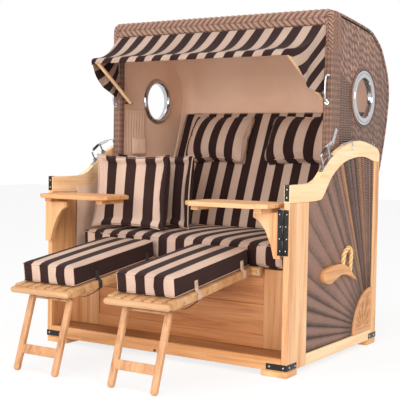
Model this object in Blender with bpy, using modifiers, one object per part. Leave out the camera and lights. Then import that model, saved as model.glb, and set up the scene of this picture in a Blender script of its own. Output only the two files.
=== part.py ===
"""A two-seat hooded beach chair with a reclining wicker hood, an awning, two tables and two footrests."""

from math import atan2, cos, hypot, pi, radians, sin

import bmesh
import bpy
from mathutils import Vector

# All lengths are in metres: X runs to the sitter's left, Y to the back, Z up.
# The ground is z = 0 and the front face of the side frames is y = 0 until the last step.

# Clearances and edges
gap = 0.0003  # between pieces that touch
overrun = 0.01  # how far a cutter runs past what it cuts
lap = 0.001  # how far joined shapes reach into each other
wood_edge = 0.0025
fine_edge = 0.001

# Side frames
width = 1.30
frame_thickness = 0.0265
base_depth = 0.936
front_post_depth = 0.178
rear_post_depth = 0.056
bottom_rail_height = 0.048
rail_top_low = 0.795  # height of the top rail over the front post
rail_top_rise = 0.192  # how far its arch climbs above that
rail_under_low = 0.722
rail_under_rise = 0.191
rail_top_shares = [
    (0, 0), (0.19, 0.01), (0.26, 0.07), (0.31, 0.2), (0.41, 0.55),
    (0.56, 0.86), (0.74, 1), (0.92, 0.88), (0.98, 0.79), (1, 0.68),
]
rail_under_arch_shares = [
    (0, 0), (0.15, 0.02), (0.2, 0.12), (0.32, 0.55), (0.49, 0.86),
    (0.67, 0.98), (0.8, 1), (0.89, 0.96), (1, 0.874),
]

# Feet and base boards
foot_height = 0.025
foot_width = 0.12
foot_depth = 0.097
board_thickness = 0.018
toe_board_height = 0.053
front_panel_setback = 0.15
front_panel_thickness = 0.022
front_panel_top = 0.423
front_stile_width = 0.168
front_top_rail = 0.078
front_bottom_rail = 0.055
front_recess = 0.008
seat_board_setback = 0.1357  # from the base's rear edge, where the hood needs room to turn
rear_panel_top = 0.34

# Woven side panels and what sits on them
woven_thickness = 0.0095
woven_recess = 0.012
sun_radius = 0.21
sun_scallops = 7
scallop_depth_share = 0.07
grip_block_inset = 0.134  # from the front post
grip_block_foot = 0.34
grip_block_length = 0.358
grip_block_height = 0.088
grip_block_thickness = 0.024
grip_block_shares = [
    (1, 0), (0.82, 0.58), (0.687, 1), (0.475, 1), (0.25, 0.98), (0.07, 0.85), (0, 0.6),
    (0.05, 0.28), (0.2, 0.13), (0.36, 0.28), (0.52, 0.45), (0.68, 0.42), (0.84, 0.25),
]
rope_radius = 0.0085
rope_loop_height = 0.088
rope_socket_depth = 0.016
rope_socket_gap = 0.001  # round the rope, which has fewer sides than a true circle
rope_feet_shares = ((0.62, 0.96), (0.83, 0.5))
rope_loop_shares = [(0, 0.333), (0.2, 0.72), (0.8, 1), (1.08, 0.75), (1, 0.03)]

# Hood
hood_inner_clearance = 0.027  # from its walls to the seat box
hood_front_setback = 0.45  # from the base's rear edge
hood_depth = 0.641
hood_low = 0.62  # lower edge of the back of the hood
hood_rise = 0.936
hood_wall = 0.012
hood_wall_slant = 0.0015  # room for the roof's front rim, which is square to its slope
hood_shares = [
    (0, 1), (0.26, 0.985), (0.6, 0.957), (0.72, 0.926), (0.83, 0.88), (0.9, 0.82),
    (0.96, 0.76), (0.997, 0.684), (1, 0.608), (0.96, 0.47), (0.88, 0.3), (0.8, 0.17), (0.708, 0),
]
hood_cheek_drop = 0.22  # how far the walls reach below the back
hood_cheek_shares = [(1, 0.5), (0.7576, 1), (0.2727, 0.9), (0, 0.09)]
pivot_setback = 0.236  # from the base's rear edge
pivot_lift = 0.027  # above the seat board
pivot_radius = 0.01
band_side_clearance = 0.0065  # to the side frames
band_side_thickness = 0.008
band_front_thickness = 0.036
band_top_thickness = 0.013
band_face_width = 0.047
band_wrap_depth = 0.046
band_top_width = 0.069
band_foot = 0.60
band_corner = 0.034

# Round windows
window_setback = 0.3265  # from the hood's front
window_lift = 0.572  # above the lower edge of the hood's back
window_ring_radius = 0.131
window_inner_ring_radius = 0.112
window_opening_radius = 0.095
window_neck_wall = 0.0035
window_flange = 0.0085
window_pane = 0.003

# Ring grips on the hood's front border
hood_grip_drop = 0.354  # from the border's top
hood_grip_height = 0.12
hood_grip_reach = 0.026
hood_grip_neck = 0.007  # how far its ends run straight out of the border
hood_grip_radius = 0.005
hood_grip_squareness = 0.6

# Backrest and its cushions, which lean back with the hood
backrest_ease = 0.032
back_foot_share = 0.708  # of the hood's depth, where its back ends below
back_foot_inset = 0.1292  # from there to the front of the back cushion
back_top_share = 0.96
back_top_inset = 0.053
back_cushion_lift = 0.137  # above the seat board
back_cushion_top = 1.14
back_cushion_thickness = 0.05
back_crown_share = 0.06
back_draw_share = 0.04
back_rim_shares = (0.3, 0.3, 0.15)
back_board_top = 1.055
back_board_thickness = 0.012
head_pillow_width = 0.42
head_pillow_height = 0.28
head_pillow_thickness = 0.10
head_pillow_spread = 0.245
head_pillow_middle = 0.997
head_pillow_rim_shares = (0.05, 0.08, 0.25)
head_pillow_edge_share = 0.55
head_pillow_draw_share = 0.03
head_pillow_standoff_share = 0.56

# Seat cushion and throw pillows
seat_cushion_overhang = 0.015
seat_cushion_rear_ease = 0.0305  # to the back cushion
seat_cushion_side_ease = 0.002
seat_cushion_thickness = 0.118
seat_crown_share = 0.06
seat_draw_share = 0.03
seat_rim_shares = (0.12, 0.25, 0.12)
throw_pillow_width = 0.42
throw_pillow_height = 0.37
throw_pillow_thickness = 0.13
throw_pillow_lean = radians(6)
throw_pillow_rim_share = 0.06
throw_pillow_edge_share = 0.16
throw_pillow_draw_share = 0.05
throw_pillow_lift_share = 0.08  # of the seat cushion, which is crowned
throw_pillow_insets = {"front": (0.02, 0.14), "rear": (0.045, 0.31)}  # from the seat's left and front

# Awning
awning_pivot_setback = 0.022  # from the hood's front
awning_pivot_drop = 0.401  # from the border's top
awning_arm_ease = 0.052  # from the hood's wall to its arms
awning_toe_in = 0.025
awning_reach = 0.313
awning_rise = 0.188
awning_bar_radius = 0.009
awning_pin_share = 0.8
awning_cloth_thickness = 0.003
awning_cloth_clearance = 0.003
awning_cloth_ease = 0.017
awning_cloth_overhang = 0.016  # past the ends of the bar
awning_cloth_tuck = 0.003  # below the border's face
awning_sag = 0.028
awning_valance = 0.022
awning_wing_drop = 0.30
awning_wing_wave = 0.012

# Folding tables
hinge_inset = 0.001  # from the post's inner corner to the right hinge's axis
hinge_standoff = 0.0045
knuckle_radius = 0.004
hinge_leaf_width = 0.025
hinge_leaf_thickness = 0.0025
hinge_drop = 0.194  # from the underside of the top
hinge_height = 0.188
bracket_offset = 0.0125
bracket_length = 0.131
bracket_thickness = 0.024
bracket_drop = 0.21
bracket_shares = [(0, 1), (0, 0), (0.24, 0), (0.36, 0.3), (0.55, 0.6), (0.78, 0.8), (1, 0.88), (1, 1)]
tabletop_length = 0.40
tabletop_width = 0.25
tabletop_thickness = 0.018
tabletop_offset = 0.03
tabletop_height = 0.718
tabletop_corner = 0.045
batten_height = 0.019
batten_width = 0.035
batten_inset = 0.03

# Footrests
footrest_places = {"left": -0.2345, "right": 0.263}
footrest_standoff = 0.035  # from the front panel to its rear bar
footrest_drop = 0.0055  # from the front panel's top
footrest_slope = radians(7.3)
footrest_length = 0.645
footrest_width = 0.318
footrest_rail_width = 0.03
footrest_rail_height = 0.035
footrest_slats = 3
slat_width = 0.05
slat_thickness = 0.012
front_rail_depth = 0.045
crossbar_length = 0.40
crossbar_depth = 0.03
hook_width = 0.03
hook_height = 0.018
hook_clearance = 0.004  # from the hook's end to the front panel, before the slope
foot_cushion_half_width = 0.146
foot_cushion_inset = 0.065  # from the frame's front end
foot_cushion_thickness = 0.09
foot_crown_share = 0.1
foot_draw_share = 0.05
foot_rim_share = 0.14
leg_inset = 0.08  # from the frame's front end to the legs' hinge
leg_drop = 0.045  # below the frame's middle
leg_forward = radians(17.6)
leg_spread = 0.1035
leg_width = 0.029
leg_thickness = 0.022
leg_rail_low = 0.073
leg_rail_height = 0.042
leg_rail_thickness = 0.016
leg_ground_clearance = 0.0004

# Bail latches on the rails
latch_foot_share = 0.36  # where the bail's lower foot stands, along the base depth
latch_span = 0.075
latch_height = 0.048
latch_radius = 0.0045
latch_lift = 0.004  # clears the curve of the rail between the bail's feet
latch_slope_share = 0.75  # how far along the bail the rail's slope is taken

# Worked-out places
frame_inside = width / 2 - frame_thickness
rear_post_front = base_depth - rear_post_depth
rail_low = foot_height + gap
bottom_rail_top = rail_low + bottom_rail_height
woven_outside = width / 2 - woven_recess
floor_top = foot_height + toe_board_height
panel_inside = frame_inside - gap
band_outer_half_width = frame_inside - band_side_clearance
hood_half_width = band_outer_half_width - band_side_thickness
hood_inside = hood_half_width - hood_wall
hood_front = base_depth - hood_front_setback
band_front = hood_front - band_front_thickness
band_top = hood_low + hood_rise + band_top_thickness
seat_board_top = front_panel_top
seat_board_rear = base_depth - seat_board_setback
seat_box_half_width = hood_inside - hood_inner_clearance
pivot_place = (base_depth - pivot_setback, seat_board_top + pivot_lift)
window_place = (hood_front + window_setback, hood_low + window_lift)
back_cushion_foot = seat_board_top + back_cushion_lift
back_foot_y = hood_front + back_foot_share * hood_depth - back_foot_inset
back_top_y = hood_front + back_top_share * hood_depth - back_top_inset
recline = atan2(back_top_y - back_foot_y, back_cushion_top - back_cushion_foot)
backrest_half_width = hood_inside - backrest_ease
seat_cushion_front = front_panel_setback - seat_cushion_overhang
seat_cushion_rear = back_foot_y - seat_cushion_rear_ease
seat_cushion_half_width = seat_box_half_width - seat_cushion_side_ease
awning_pivot = (hood_front + awning_pivot_setback, band_top - awning_pivot_drop)
awning_pivot_half_width = hood_inside - awning_arm_ease
awning_tip = (awning_pivot[0] - awning_reach, awning_pivot[1] + awning_rise)
awning_tip_half_width = awning_pivot_half_width - awning_toe_in
awning_cloth_top = band_top - band_top_width - awning_cloth_tuck
awning_cloth_top_half_width = hood_inside - awning_cloth_ease
awning_cloth_bar_half_width = awning_tip_half_width + awning_cloth_overhang
tabletop_low = tabletop_height - tabletop_thickness
batten_low = tabletop_low - batten_height
hinge_foot = tabletop_low - hinge_drop
bracket_foot = tabletop_low - bracket_drop
foot_cushion_length = footrest_length - foot_cushion_inset
leg_pivot = (leg_inset - footrest_length, -leg_drop)  # from the footrest's own pivot, along the frame
footrest_pivot = (front_panel_setback - footrest_standoff, front_panel_top - footrest_drop)


def clear_scene():
    for thing in list(bpy.data.objects):
        bpy.data.objects.remove(thing, do_unlink=True)


def make_collection(name):
    group = bpy.data.collections.new(name)
    bpy.context.scene.collection.children.link(group)
    return group


def make_material(name, colour, roughness, metallic=0.0):
    made = bpy.data.materials.new(name)
    made.use_nodes = True
    shader = made.node_tree.nodes["Principled BSDF"]
    shader.inputs["Base Color"].default_value = (*colour, 1)
    shader.inputs["Roughness"].default_value = roughness
    shader.inputs["Metallic"].default_value = metallic
    made.diffuse_color = (*colour, 1)
    return made


clear_scene()
parts = make_collection("hooded_beach_chair")
cutters = make_collection("cutters")

wood = make_material("acacia_wood", (0.86, 0.52, 0.23), 0.5)
wicker = make_material("wicker", (0.24, 0.15, 0.11), 0.6)
braid = make_material("braided_border", (0.4, 0.25, 0.17), 0.6)
stripe = make_material("striped_canvas", (0.3, 0.2, 0.18), 0.9)
canvas = make_material("beige_canvas", (0.6, 0.36, 0.24), 0.9)
chrome = make_material("polished_steel", (0.75, 0.75, 0.77), 0.2, 1.0)
rope = make_material("rope", (0.8, 0.6, 0.35), 0.85)
pane = make_material("window_ring", (0.7, 0.72, 0.75), 0.2, 0.9)


def add(thing, material, parent, group=parts):
    """Puts an object in its collection with its material, and ties it to its parent where it stands."""
    group.objects.link(thing)
    thing.data.materials.append(material)
    if parent:
        bpy.context.view_layer.update()
        thing.parent = parent
        thing.matrix_parent_inverse = parent.matrix_world.inverted()
    return thing


def pivot(name, place, parent):
    """An empty on a joint's axis, which carries the pieces that turn on it."""
    thing = bpy.data.objects.new(name, None)
    parts.objects.link(thing)
    thing.location = place
    if parent:
        bpy.context.view_layer.update()
        thing.parent = parent
        thing.matrix_parent_inverse = parent.matrix_world.inverted()
    bpy.context.view_layer.update()
    return thing


def bevel(thing, size, segments=1):
    if size:
        made = thing.modifiers.new("Edges", "BEVEL")
        made.width = size
        made.segments = segments
        made.limit_method = "ANGLE"


def box(name, low, high, material, parent, edge=wood_edge, group=parts):
    """A board between two opposite corners."""
    low, high = Vector(low), Vector(high)
    mesh = bpy.data.meshes.new(name)
    shape = bmesh.new()
    bmesh.ops.create_cube(shape, size=1)
    bmesh.ops.scale(shape, vec=high - low, verts=shape.verts)
    shape.to_mesh(mesh)
    shape.free()
    thing = bpy.data.objects.new(name, mesh)
    thing.location = (low + high) / 2
    bevel(thing, edge)
    return add(thing, material, parent, group)


def smooth_run(points, steps, closed=False):
    """Points along a smooth curve through hand-set points."""
    count = len(points)
    spans = count if closed else count - 1
    run = []
    for i in range(spans):
        a, b, c, d = (
            points[(i + k) % count] if closed else points[min(max(i + k, 0), count - 1)] for k in (-1, 0, 1, 2)
        )
        for step in range(steps):
            t = step / steps
            run.append(
                tuple(
                    (2 * q + (r - p) * t + (2 * p - 5 * q + 4 * r - s) * t * t + (3 * q - p - 3 * r + s) * t**3) / 2
                    for p, q, r, s in zip(a, b, c, d)
                )
            )
    if not closed:
        run.append(tuple(points[-1]))
    return run


def inset(run, distance):
    """An open run of points moved to its left by a distance."""
    moved = []
    for i, (x, y) in enumerate(run):
        before, after = run[max(i - 1, 0)], run[min(i + 1, len(run) - 1)]
        dx, dy = after[0] - before[0], after[1] - before[1]
        length = hypot(dx, dy)
        moved.append((x - dy / length * distance, y + dx / length * distance))
    return moved


def circle(middle, radius, points=32):
    return [
        (middle[0] + radius * cos(2 * pi * i / points), middle[1] + radius * sin(2 * pi * i / points))
        for i in range(points)
    ]


def height_on(run, along):
    """The height of an open run of points at a place along it."""
    for (x0, z0), (x1, z1) in zip(run, run[1:]):
        if x0 <= along <= x1:
            return z0 + (z1 - z0) * (along - x0) / (x1 - x0)
    return run[-1][1]


def curve_mesh(curve, runs, closed):
    """The mesh that a curve gives along runs of points, its doubled points merged."""
    for run in runs:
        spline = curve.splines.new("POLY")
        spline.points.add(len(run) - 1)
        for point, place in zip(spline.points, run):
            point.co = (*Vector(place).to_3d(), 1)
        spline.use_cyclic_u = closed
    guide = bpy.data.objects.new(curve.name, curve)
    bpy.context.scene.collection.objects.link(guide)
    bpy.context.view_layer.update()
    mesh = bpy.data.meshes.new_from_object(guide.evaluated_get(bpy.context.evaluated_depsgraph_get()))
    shape = bmesh.new()
    shape.from_mesh(mesh)
    bmesh.ops.remove_doubles(shape, verts=shape.verts, dist=gap / 10)
    shape.to_mesh(mesh)
    shape.free()
    bpy.data.objects.remove(guide, do_unlink=True)
    return mesh


def plate(name, outlines, low, high, facing, material, parent, edge=0, group=parts):
    """A flat piece cut to an outline, with holes, between two places along the way that it faces."""
    curve = bpy.data.curves.new(name, "CURVE")
    curve.dimensions = "2D"
    curve.fill_mode = "BOTH"
    curve.extrude = (high - low) / 2
    thing = bpy.data.objects.new(name, curve_mesh(curve, outlines, True))
    middle = (low + high) / 2
    turns = {"x": (pi / 2, 0, pi / 2), "y": (pi / 2, 0, 0), "z": (0, 0, 0)}
    places = {"x": (middle, 0, 0), "y": (0, middle, 0), "z": (0, 0, middle)}
    thing.rotation_euler = turns[facing]
    thing.location = places[facing]
    bevel(thing, edge)
    return add(thing, material, parent, group)


def tube(name, points, radius, material, parent, group=parts, sides=2):
    """A round bar along points."""
    curve = bpy.data.curves.new(name, "CURVE")
    curve.dimensions = "3D"
    curve.bevel_depth = radius
    curve.bevel_resolution = sides
    curve.use_fill_caps = True
    mesh = curve_mesh(curve, [points], False)
    mesh.shade_smooth()
    thing = bpy.data.objects.new(name, mesh)
    return add(thing, material, parent, group)


def rod(name, place, radius, length, axis, material, parent, group=parts, sides=24):
    """A cylinder that starts at a place and runs along an axis."""
    mesh = bpy.data.meshes.new(name)
    shape = bmesh.new()
    bmesh.ops.create_cone(shape, cap_ends=True, segments=sides, radius1=radius, radius2=radius, depth=length)
    bmesh.ops.translate(shape, verts=shape.verts, vec=(0, 0, length / 2))
    shape.to_mesh(mesh)
    shape.free()
    thing = bpy.data.objects.new(name, mesh)
    thing.location = place
    thing.rotation_euler = {"x": (0, pi / 2, 0), "z": (0, 0, 0)}[axis]
    return add(thing, material, parent, group)


def combine(thing, others, operation="UNION"):
    """Joins other shapes to a piece, or cuts them from it."""
    for other in others:
        made = thing.modifiers.new(operation.title(), "BOOLEAN")
        made.operation = operation
        made.object = other
        other.hide_render = True
        other.display_type = "WIRE"
    return thing


def sides():
    """Each side's name and the sign of its x."""
    return (("left", -1), ("right", 1))


def between(sign, near, far):
    """Two places across the chair, the lower first, on the side that the sign gives."""
    return tuple(sorted((sign * near, sign * far)))


def cage(name, size, loops, rim, shape_point, material, parent, place, turn=(0, 0, 0), level=1):
    """A soft form: a box with loops across it, whose points a function moves, then smoothed."""
    half = Vector(size) / 2
    mesh = bpy.data.meshes.new(name)
    shape = bmesh.new()
    bmesh.ops.create_cube(shape, size=1)
    bmesh.ops.scale(shape, vec=size, verts=shape.verts)
    for axis, count in enumerate(loops):
        normal = [0, 0, 0]
        normal[axis] = 1
        inner = half[axis] - rim[axis]
        places = [-inner + 2 * inner * i / (count - 1) for i in range(count)] if count > 1 else [0] * count
        for at in places:
            spot = [0, 0, 0]
            spot[axis] = at
            every = shape.verts[:] + shape.edges[:] + shape.faces[:]
            bmesh.ops.bisect_plane(shape, geom=every, plane_co=spot, plane_no=normal)
    for vert in shape.verts:
        share = [vert.co[axis] / half[axis] for axis in range(3)]
        vert.co = shape_point(vert.co, share)
    shape.to_mesh(mesh)
    shape.free()
    mesh.shade_smooth()
    thing = bpy.data.objects.new(name, mesh)
    thing.location = place
    thing.rotation_euler = turn
    made = thing.modifiers.new("Soft", "SUBSURF")
    made.levels = level
    made.render_levels = level
    return add(thing, material, parent)


def build_side_frame(root, side, sign):
    near, far = between(sign, frame_inside, width / 2)
    post_top = rail_under_low - gap
    box(f"front_post_{side}", (near, 0, rail_low), (far, front_post_depth, post_top), wood, root)
    top = [(along * base_depth, rail_top_low + rise * rail_top_rise) for along, rise in rail_top_shares]
    arch_depth = rear_post_front - front_post_depth
    under = [
        (front_post_depth + along * arch_depth, rail_under_low + rise * rail_under_rise)
        for along, rise in rail_under_arch_shares
    ]
    top_run = smooth_run(top, 3)
    under_run = smooth_run(under, 3)
    rear_height = under_run[-1][1]
    outline = top_run + [(base_depth, rear_height)] + under_run[::-1] + [(0, rail_under_low)]
    plate(f"top_rail_{side}", [outline], near, far, "x", wood, root, wood_edge)
    box(
        f"rear_post_{side}",
        (near, rear_post_front, rail_low),
        (far, base_depth, rear_height - gap),
        wood,
        root,
    )
    box(
        f"bottom_rail_{side}",
        (near, front_post_depth + gap, rail_low),
        (far, rear_post_front - gap, bottom_rail_top),
        wood,
        root,
    )
    build_woven_side(root, side, sign, under_run)
    for end, low_y in (("front", 0), ("rear", base_depth - foot_depth)):
        foot_near, foot_far = between(sign, width / 2 - foot_width, width / 2)
        box(
            f"foot_{end}_{side}", (foot_near, low_y, 0), (foot_far, low_y + foot_depth, foot_height), wood, root
        )
    return top_run


def build_woven_side(root, side, sign, under_run):
    front, rear = front_post_depth + gap, rear_post_front - gap
    floor = bottom_rail_top + gap
    arch = [(y, z - gap) for y, z in under_run if front < y < rear]
    outline = [(front, floor), (rear, floor), (rear, height_on(under_run, rear) - gap)]
    outline += arch[::-1] + [(front, height_on(under_run, front) - gap)]
    near, far = between(sign, woven_outside - woven_thickness, woven_outside)
    plate(f"woven_side_{side}", [outline], near, far, "x", wicker, root)

    corner = (rear - gap, floor + gap)
    rim = []
    points = sun_scallops * 5
    for i in range(points + 1):
        angle = pi / 2 + pi / 2 * i / points
        wave = 1 - scallop_depth_share * (1 - abs(sin(sun_scallops * (angle - pi / 2) * 2)))
        rim.append((corner[0] + sun_radius * wave * cos(angle), corner[1] + sun_radius * wave * sin(angle)))
    near, far = between(sign, woven_outside + gap, width / 2)
    plate(f"sun_ornament_{side}", [[corner] + rim], near, far, "x", wood, root)

    y0, z0 = front_post_depth + grip_block_inset, grip_block_foot
    corners = [(y0 + u * grip_block_length, z0 + v * grip_block_height) for u, v in grip_block_shares]
    near, far = between(sign, woven_outside + gap, woven_outside + gap + grip_block_thickness)
    block_run = [corners[0]] + smooth_run(corners[1:], 3)
    block = plate(f"grip_block_{side}", [block_run], near, far, "x", wood, root)

    middle = (near + far) / 2
    (u0, v0), (u1, v1) = rope_feet_shares
    start = (y0 + u0 * grip_block_length, z0 + v0 * grip_block_height - rope_socket_depth)
    end = (y0 + u1 * grip_block_length, z0 + v1 * grip_block_height - rope_socket_depth / 2)
    bow = [
        (start[0] + along * (end[0] - start[0]), start[1] + rise * rope_loop_height)
        for along, rise in rope_loop_shares
    ]
    path = [(middle, y, z) for y, z in smooth_run([start, *bow, end], 3)]
    tube(f"rope_loop_{side}", path, rope_radius, rope, root)
    first, last = Vector(path[0]), Vector(path[-1])
    before = first + (first - Vector(path[1])).normalized() * rope_socket_gap
    after = last + (last - Vector(path[-2])).normalized() * rope_socket_gap
    sockets = tube(
        f"rope_sockets_{side}",
        [before] + path[1:-1] + [after],
        rope_radius + rope_socket_gap,
        rope,
        root,
        cutters,
    )
    combine(block, [sockets], "DIFFERENCE")


def build_base(root):
    box("toe_board", (-panel_inside, 0, rail_low), (panel_inside, board_thickness, floor_top + lap), wood, root)
    box(
        "floor_board",
        (-panel_inside, board_thickness + gap, floor_top - board_thickness),
        (panel_inside, rear_post_front, floor_top),
        wood,
        root,
    )
    panel_low = floor_top + gap
    panel = box(
        "front_panel",
        (-panel_inside, front_panel_setback, panel_low),
        (panel_inside, front_panel_setback + front_panel_thickness, front_panel_top),
        wood,
        root,
        edge=0,
    )
    recess_half = panel_inside - front_stile_width
    recess = box(
        "front_panel_recess",
        (-recess_half, front_panel_setback - overrun, panel_low + front_bottom_rail),
        (recess_half, front_panel_setback + front_recess, front_panel_top - front_top_rail),
        wood,
        root,
        edge=0,
        group=cutters,
    )
    combine(panel, [recess], "DIFFERENCE")
    behind = front_panel_setback + front_panel_thickness + gap
    box(
        "seat_board",
        (-seat_box_half_width, behind, seat_board_top - board_thickness),
        (seat_box_half_width, seat_board_rear, seat_board_top),
        wood,
        root,
    )
    for side, sign in sides():
        near, far = between(sign, seat_box_half_width - board_thickness, seat_box_half_width)
        box(
            f"seat_box_side_{side}",
            (near, behind, floor_top + gap),
            (far, seat_board_rear, seat_board_top - board_thickness - gap),
            wood,
            root,
        )
        start, end = between(sign, seat_box_half_width + gap, woven_outside - woven_thickness - gap)
        rod(
            f"pivot_bolt_{side}", (start, *pivot_place), pivot_radius, end - start, "x", chrome, root
        )
    box(
        "rear_panel",
        (-panel_inside, base_depth - board_thickness, rail_low),
        (panel_inside, base_depth, rear_panel_top),
        wood,
        root,
    )


def crowned(crown, draw, evenness=2):
    """Moves a cushion's points: the top rises to a crown and the sides draw in at the seams."""

    def move(point, share):
        u, v, w = share
        top = crown * (1 - u * u) * (1 - abs(v) ** evenness) if w > 0 else 0
        side = draw * (1 - w * w)
        return Vector((point.x - u * side, point.y - v * side, point.z + top))

    return move


def pillow(edge_share, draw):
    """Moves a pillow's points: thick in the middle, thin at the sewn edge, corners drawn out."""

    def move(point, share):
        u, v, w = share
        fullness = ((1 - u**4) * (1 - v**4)) ** 0.5
        x = point.x * (1 - draw * (1 - v * v))
        y = point.y * (1 - draw * (1 - u * u))
        return Vector((x, y, point.z * (edge_share + (1 - edge_share) * fullness)))

    return move


def build_seat_cushion(root):
    low = seat_board_top + gap
    size = (
        2 * seat_cushion_half_width,
        seat_cushion_rear - seat_cushion_front,
        seat_cushion_thickness,
    )
    middle = (0, (seat_cushion_front + seat_cushion_rear) / 2, low + seat_cushion_thickness / 2)
    form = crowned(seat_crown_share * seat_cushion_thickness, seat_draw_share * seat_cushion_thickness)
    rim = [share * seat_cushion_thickness for share in seat_rim_shares]
    cage("seat_cushion", size, (8, 6, 3), rim, form, stripe, root, middle)


def build_throw_pillows(root):
    seat_top = seat_board_top + gap + seat_cushion_thickness * (1 + throw_pillow_lift_share)
    form = pillow(throw_pillow_edge_share, throw_pillow_draw_share)
    for name, (side_inset, front_inset) in throw_pillow_insets.items():
        size = (throw_pillow_width, throw_pillow_height, throw_pillow_thickness)
        x = throw_pillow_width / 2 + side_inset - seat_box_half_width
        place = (x, seat_cushion_front + front_inset, seat_top + throw_pillow_height / 2)
        rim = (throw_pillow_width * throw_pillow_rim_share, throw_pillow_height * throw_pillow_rim_share, 0)
        turn = (pi / 2 - throw_pillow_lean, 0, 0)
        cage(f"throw_pillow_{name}", size, (6, 6, 1), rim, form, stripe, root, place, turn)


def hood_outline():
    points = [(hood_front + u * hood_depth, hood_low + v * hood_rise) for u, v in hood_shares]
    return smooth_run(points, 3)


def build_hood_shell(hood, run):
    curve = bpy.data.curves.new("hood_shell", "CURVE")
    curve.dimensions = "2D"
    curve.fill_mode = "NONE"
    curve.extrude = hood_half_width
    mesh = curve_mesh(curve, [[(run[0][0] + hood_wall_slant, run[0][1])] + run[1:]], False)
    mesh.shade_smooth()
    shell = bpy.data.objects.new("hood_shell", mesh)
    shell.rotation_euler = (pi / 2, 0, pi / 2)
    made = shell.modifiers.new("Wall", "SOLIDIFY")
    made.thickness = hood_wall
    made.offset = -1  # inwards from the outer face
    made.use_even_offset = True
    add(shell, wicker, hood)


def build_hood_walls(hood, run):
    inner = inset(run, -(hood_wall + gap))
    inner[0] = (hood_front, inner[0][1])
    rear_y = inner[-1][0] - hood_front
    cheek = [
        (hood_front + u * rear_y, hood_low - v * hood_cheek_drop)
        for u, v in hood_cheek_shares
    ]
    lower = smooth_run([inner[-1]] + cheek, 3)[1:]
    for side, sign in sides():
        near, far = between(sign, hood_inside, hood_half_width)
        window = circle(window_place, window_opening_radius + window_neck_wall + gap)
        bolt = circle(pivot_place, pivot_radius + gap, 24)
        plate(f"hood_side_{side}", [inner + lower, window, bolt], near, far, "x", wicker, hood)


def arch_outline(half_width, top, foot, corner):
    """Half-way round an arch: up one side, over the top and down the other, corners rounded."""
    steps = 5
    run = [(half_width, foot)]
    for middle_x, start in ((half_width - corner, 0), (corner - half_width, pi / 2)):
        for i in range(steps + 1):
            angle = start + pi / 2 * i / steps
            run.append((middle_x + corner * cos(angle), top - corner + corner * sin(angle)))
    run.append((-half_width, foot))
    return run


def build_hood_band(hood):
    outer = arch_outline(band_outer_half_width, band_top, band_foot, band_corner)
    inner = arch_outline(
        band_outer_half_width - band_face_width, band_top - band_top_width, band_foot, band_corner
    )
    face_rear = hood_front - gap
    band = plate("hood_band", [outer + inner[::-1]], band_front, face_rear, "y", braid, hood)
    wrap_top = band_top - band_top_thickness + gap
    snug = arch_outline(hood_half_width + gap, wrap_top, band_foot, fine_edge)
    wrap = plate(
        "hood_band_wrap",
        [outer + snug[::-1]],
        face_rear - lap,
        face_rear + band_wrap_depth,
        "y",
        braid,
        hood,
        group=cutters,
    )
    combine(band, [wrap])


def build_window(hood, side, sign):
    """A turned ring whose neck passes through the wall, with its pane across it."""
    inside = hood_inside - gap
    outside = hood_half_width + gap
    neck = window_opening_radius + window_neck_wall
    pane_middle = hood_half_width - hood_wall / 2
    profile = [
        (0, pane_middle - window_pane / 2),
        (window_opening_radius, pane_middle - window_pane / 2),
        (window_opening_radius, inside - window_flange),
        (window_inner_ring_radius - window_flange / 2, inside - window_flange),
        (window_inner_ring_radius, inside - window_flange / 2),
        (window_inner_ring_radius, inside),
        (neck, inside),
        (neck, outside),
        (window_ring_radius, outside),
        (window_ring_radius, outside + window_flange / 2),
        (window_ring_radius - window_flange / 2, outside + window_flange),
        (window_opening_radius, outside + window_flange),
        (window_opening_radius, pane_middle + window_pane / 2),
        (0, pane_middle + window_pane / 2),
    ]
    name = f"round_window_{side}"
    mesh = bpy.data.meshes.new(name)
    shape = bmesh.new()
    verts = [shape.verts.new((radius, 0, x)) for radius, x in profile]
    for first, second in zip(verts, verts[1:]):
        shape.edges.new((first, second))
    bmesh.ops.spin(
        shape,
        geom=shape.verts[:] + shape.edges[:],
        cent=(0, 0, 0),
        axis=(0, 0, 1),
        angle=2 * pi,
        steps=32,
        use_merge=True,
    )
    bmesh.ops.remove_doubles(shape, verts=shape.verts, dist=gap / 10)
    bmesh.ops.recalc_face_normals(shape, faces=shape.faces)
    shape.to_mesh(mesh)
    shape.free()
    mesh.shade_smooth()
    mesh.set_sharp_from_angle(angle=radians(30))
    thing = bpy.data.objects.new(name, mesh)
    thing.location = (0, *window_place)
    thing.rotation_euler = (0, sign * pi / 2, 0)
    add(thing, pane, hood)


def build_hood_grip(hood, side, sign):
    x = sign * (band_outer_half_width - band_face_width / 2)
    half = hood_grip_height / 2
    middle = band_top - hood_grip_drop
    neck = band_front - gap - hood_grip_neck
    arc = []
    steps = 10
    for i in range(steps + 1):
        angle = pi * i / steps
        out = (hood_grip_reach - hood_grip_neck) * sin(angle) ** hood_grip_squareness
        arc.append((x, neck - out, middle - half * cos(angle)))
    low_end = (x, band_front - gap, middle - half)
    high_end = (x, band_front - gap, middle + half)
    tube(f"hood_grip_{side}", [low_end] + arc + [high_end], hood_grip_radius, chrome, hood)


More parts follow.
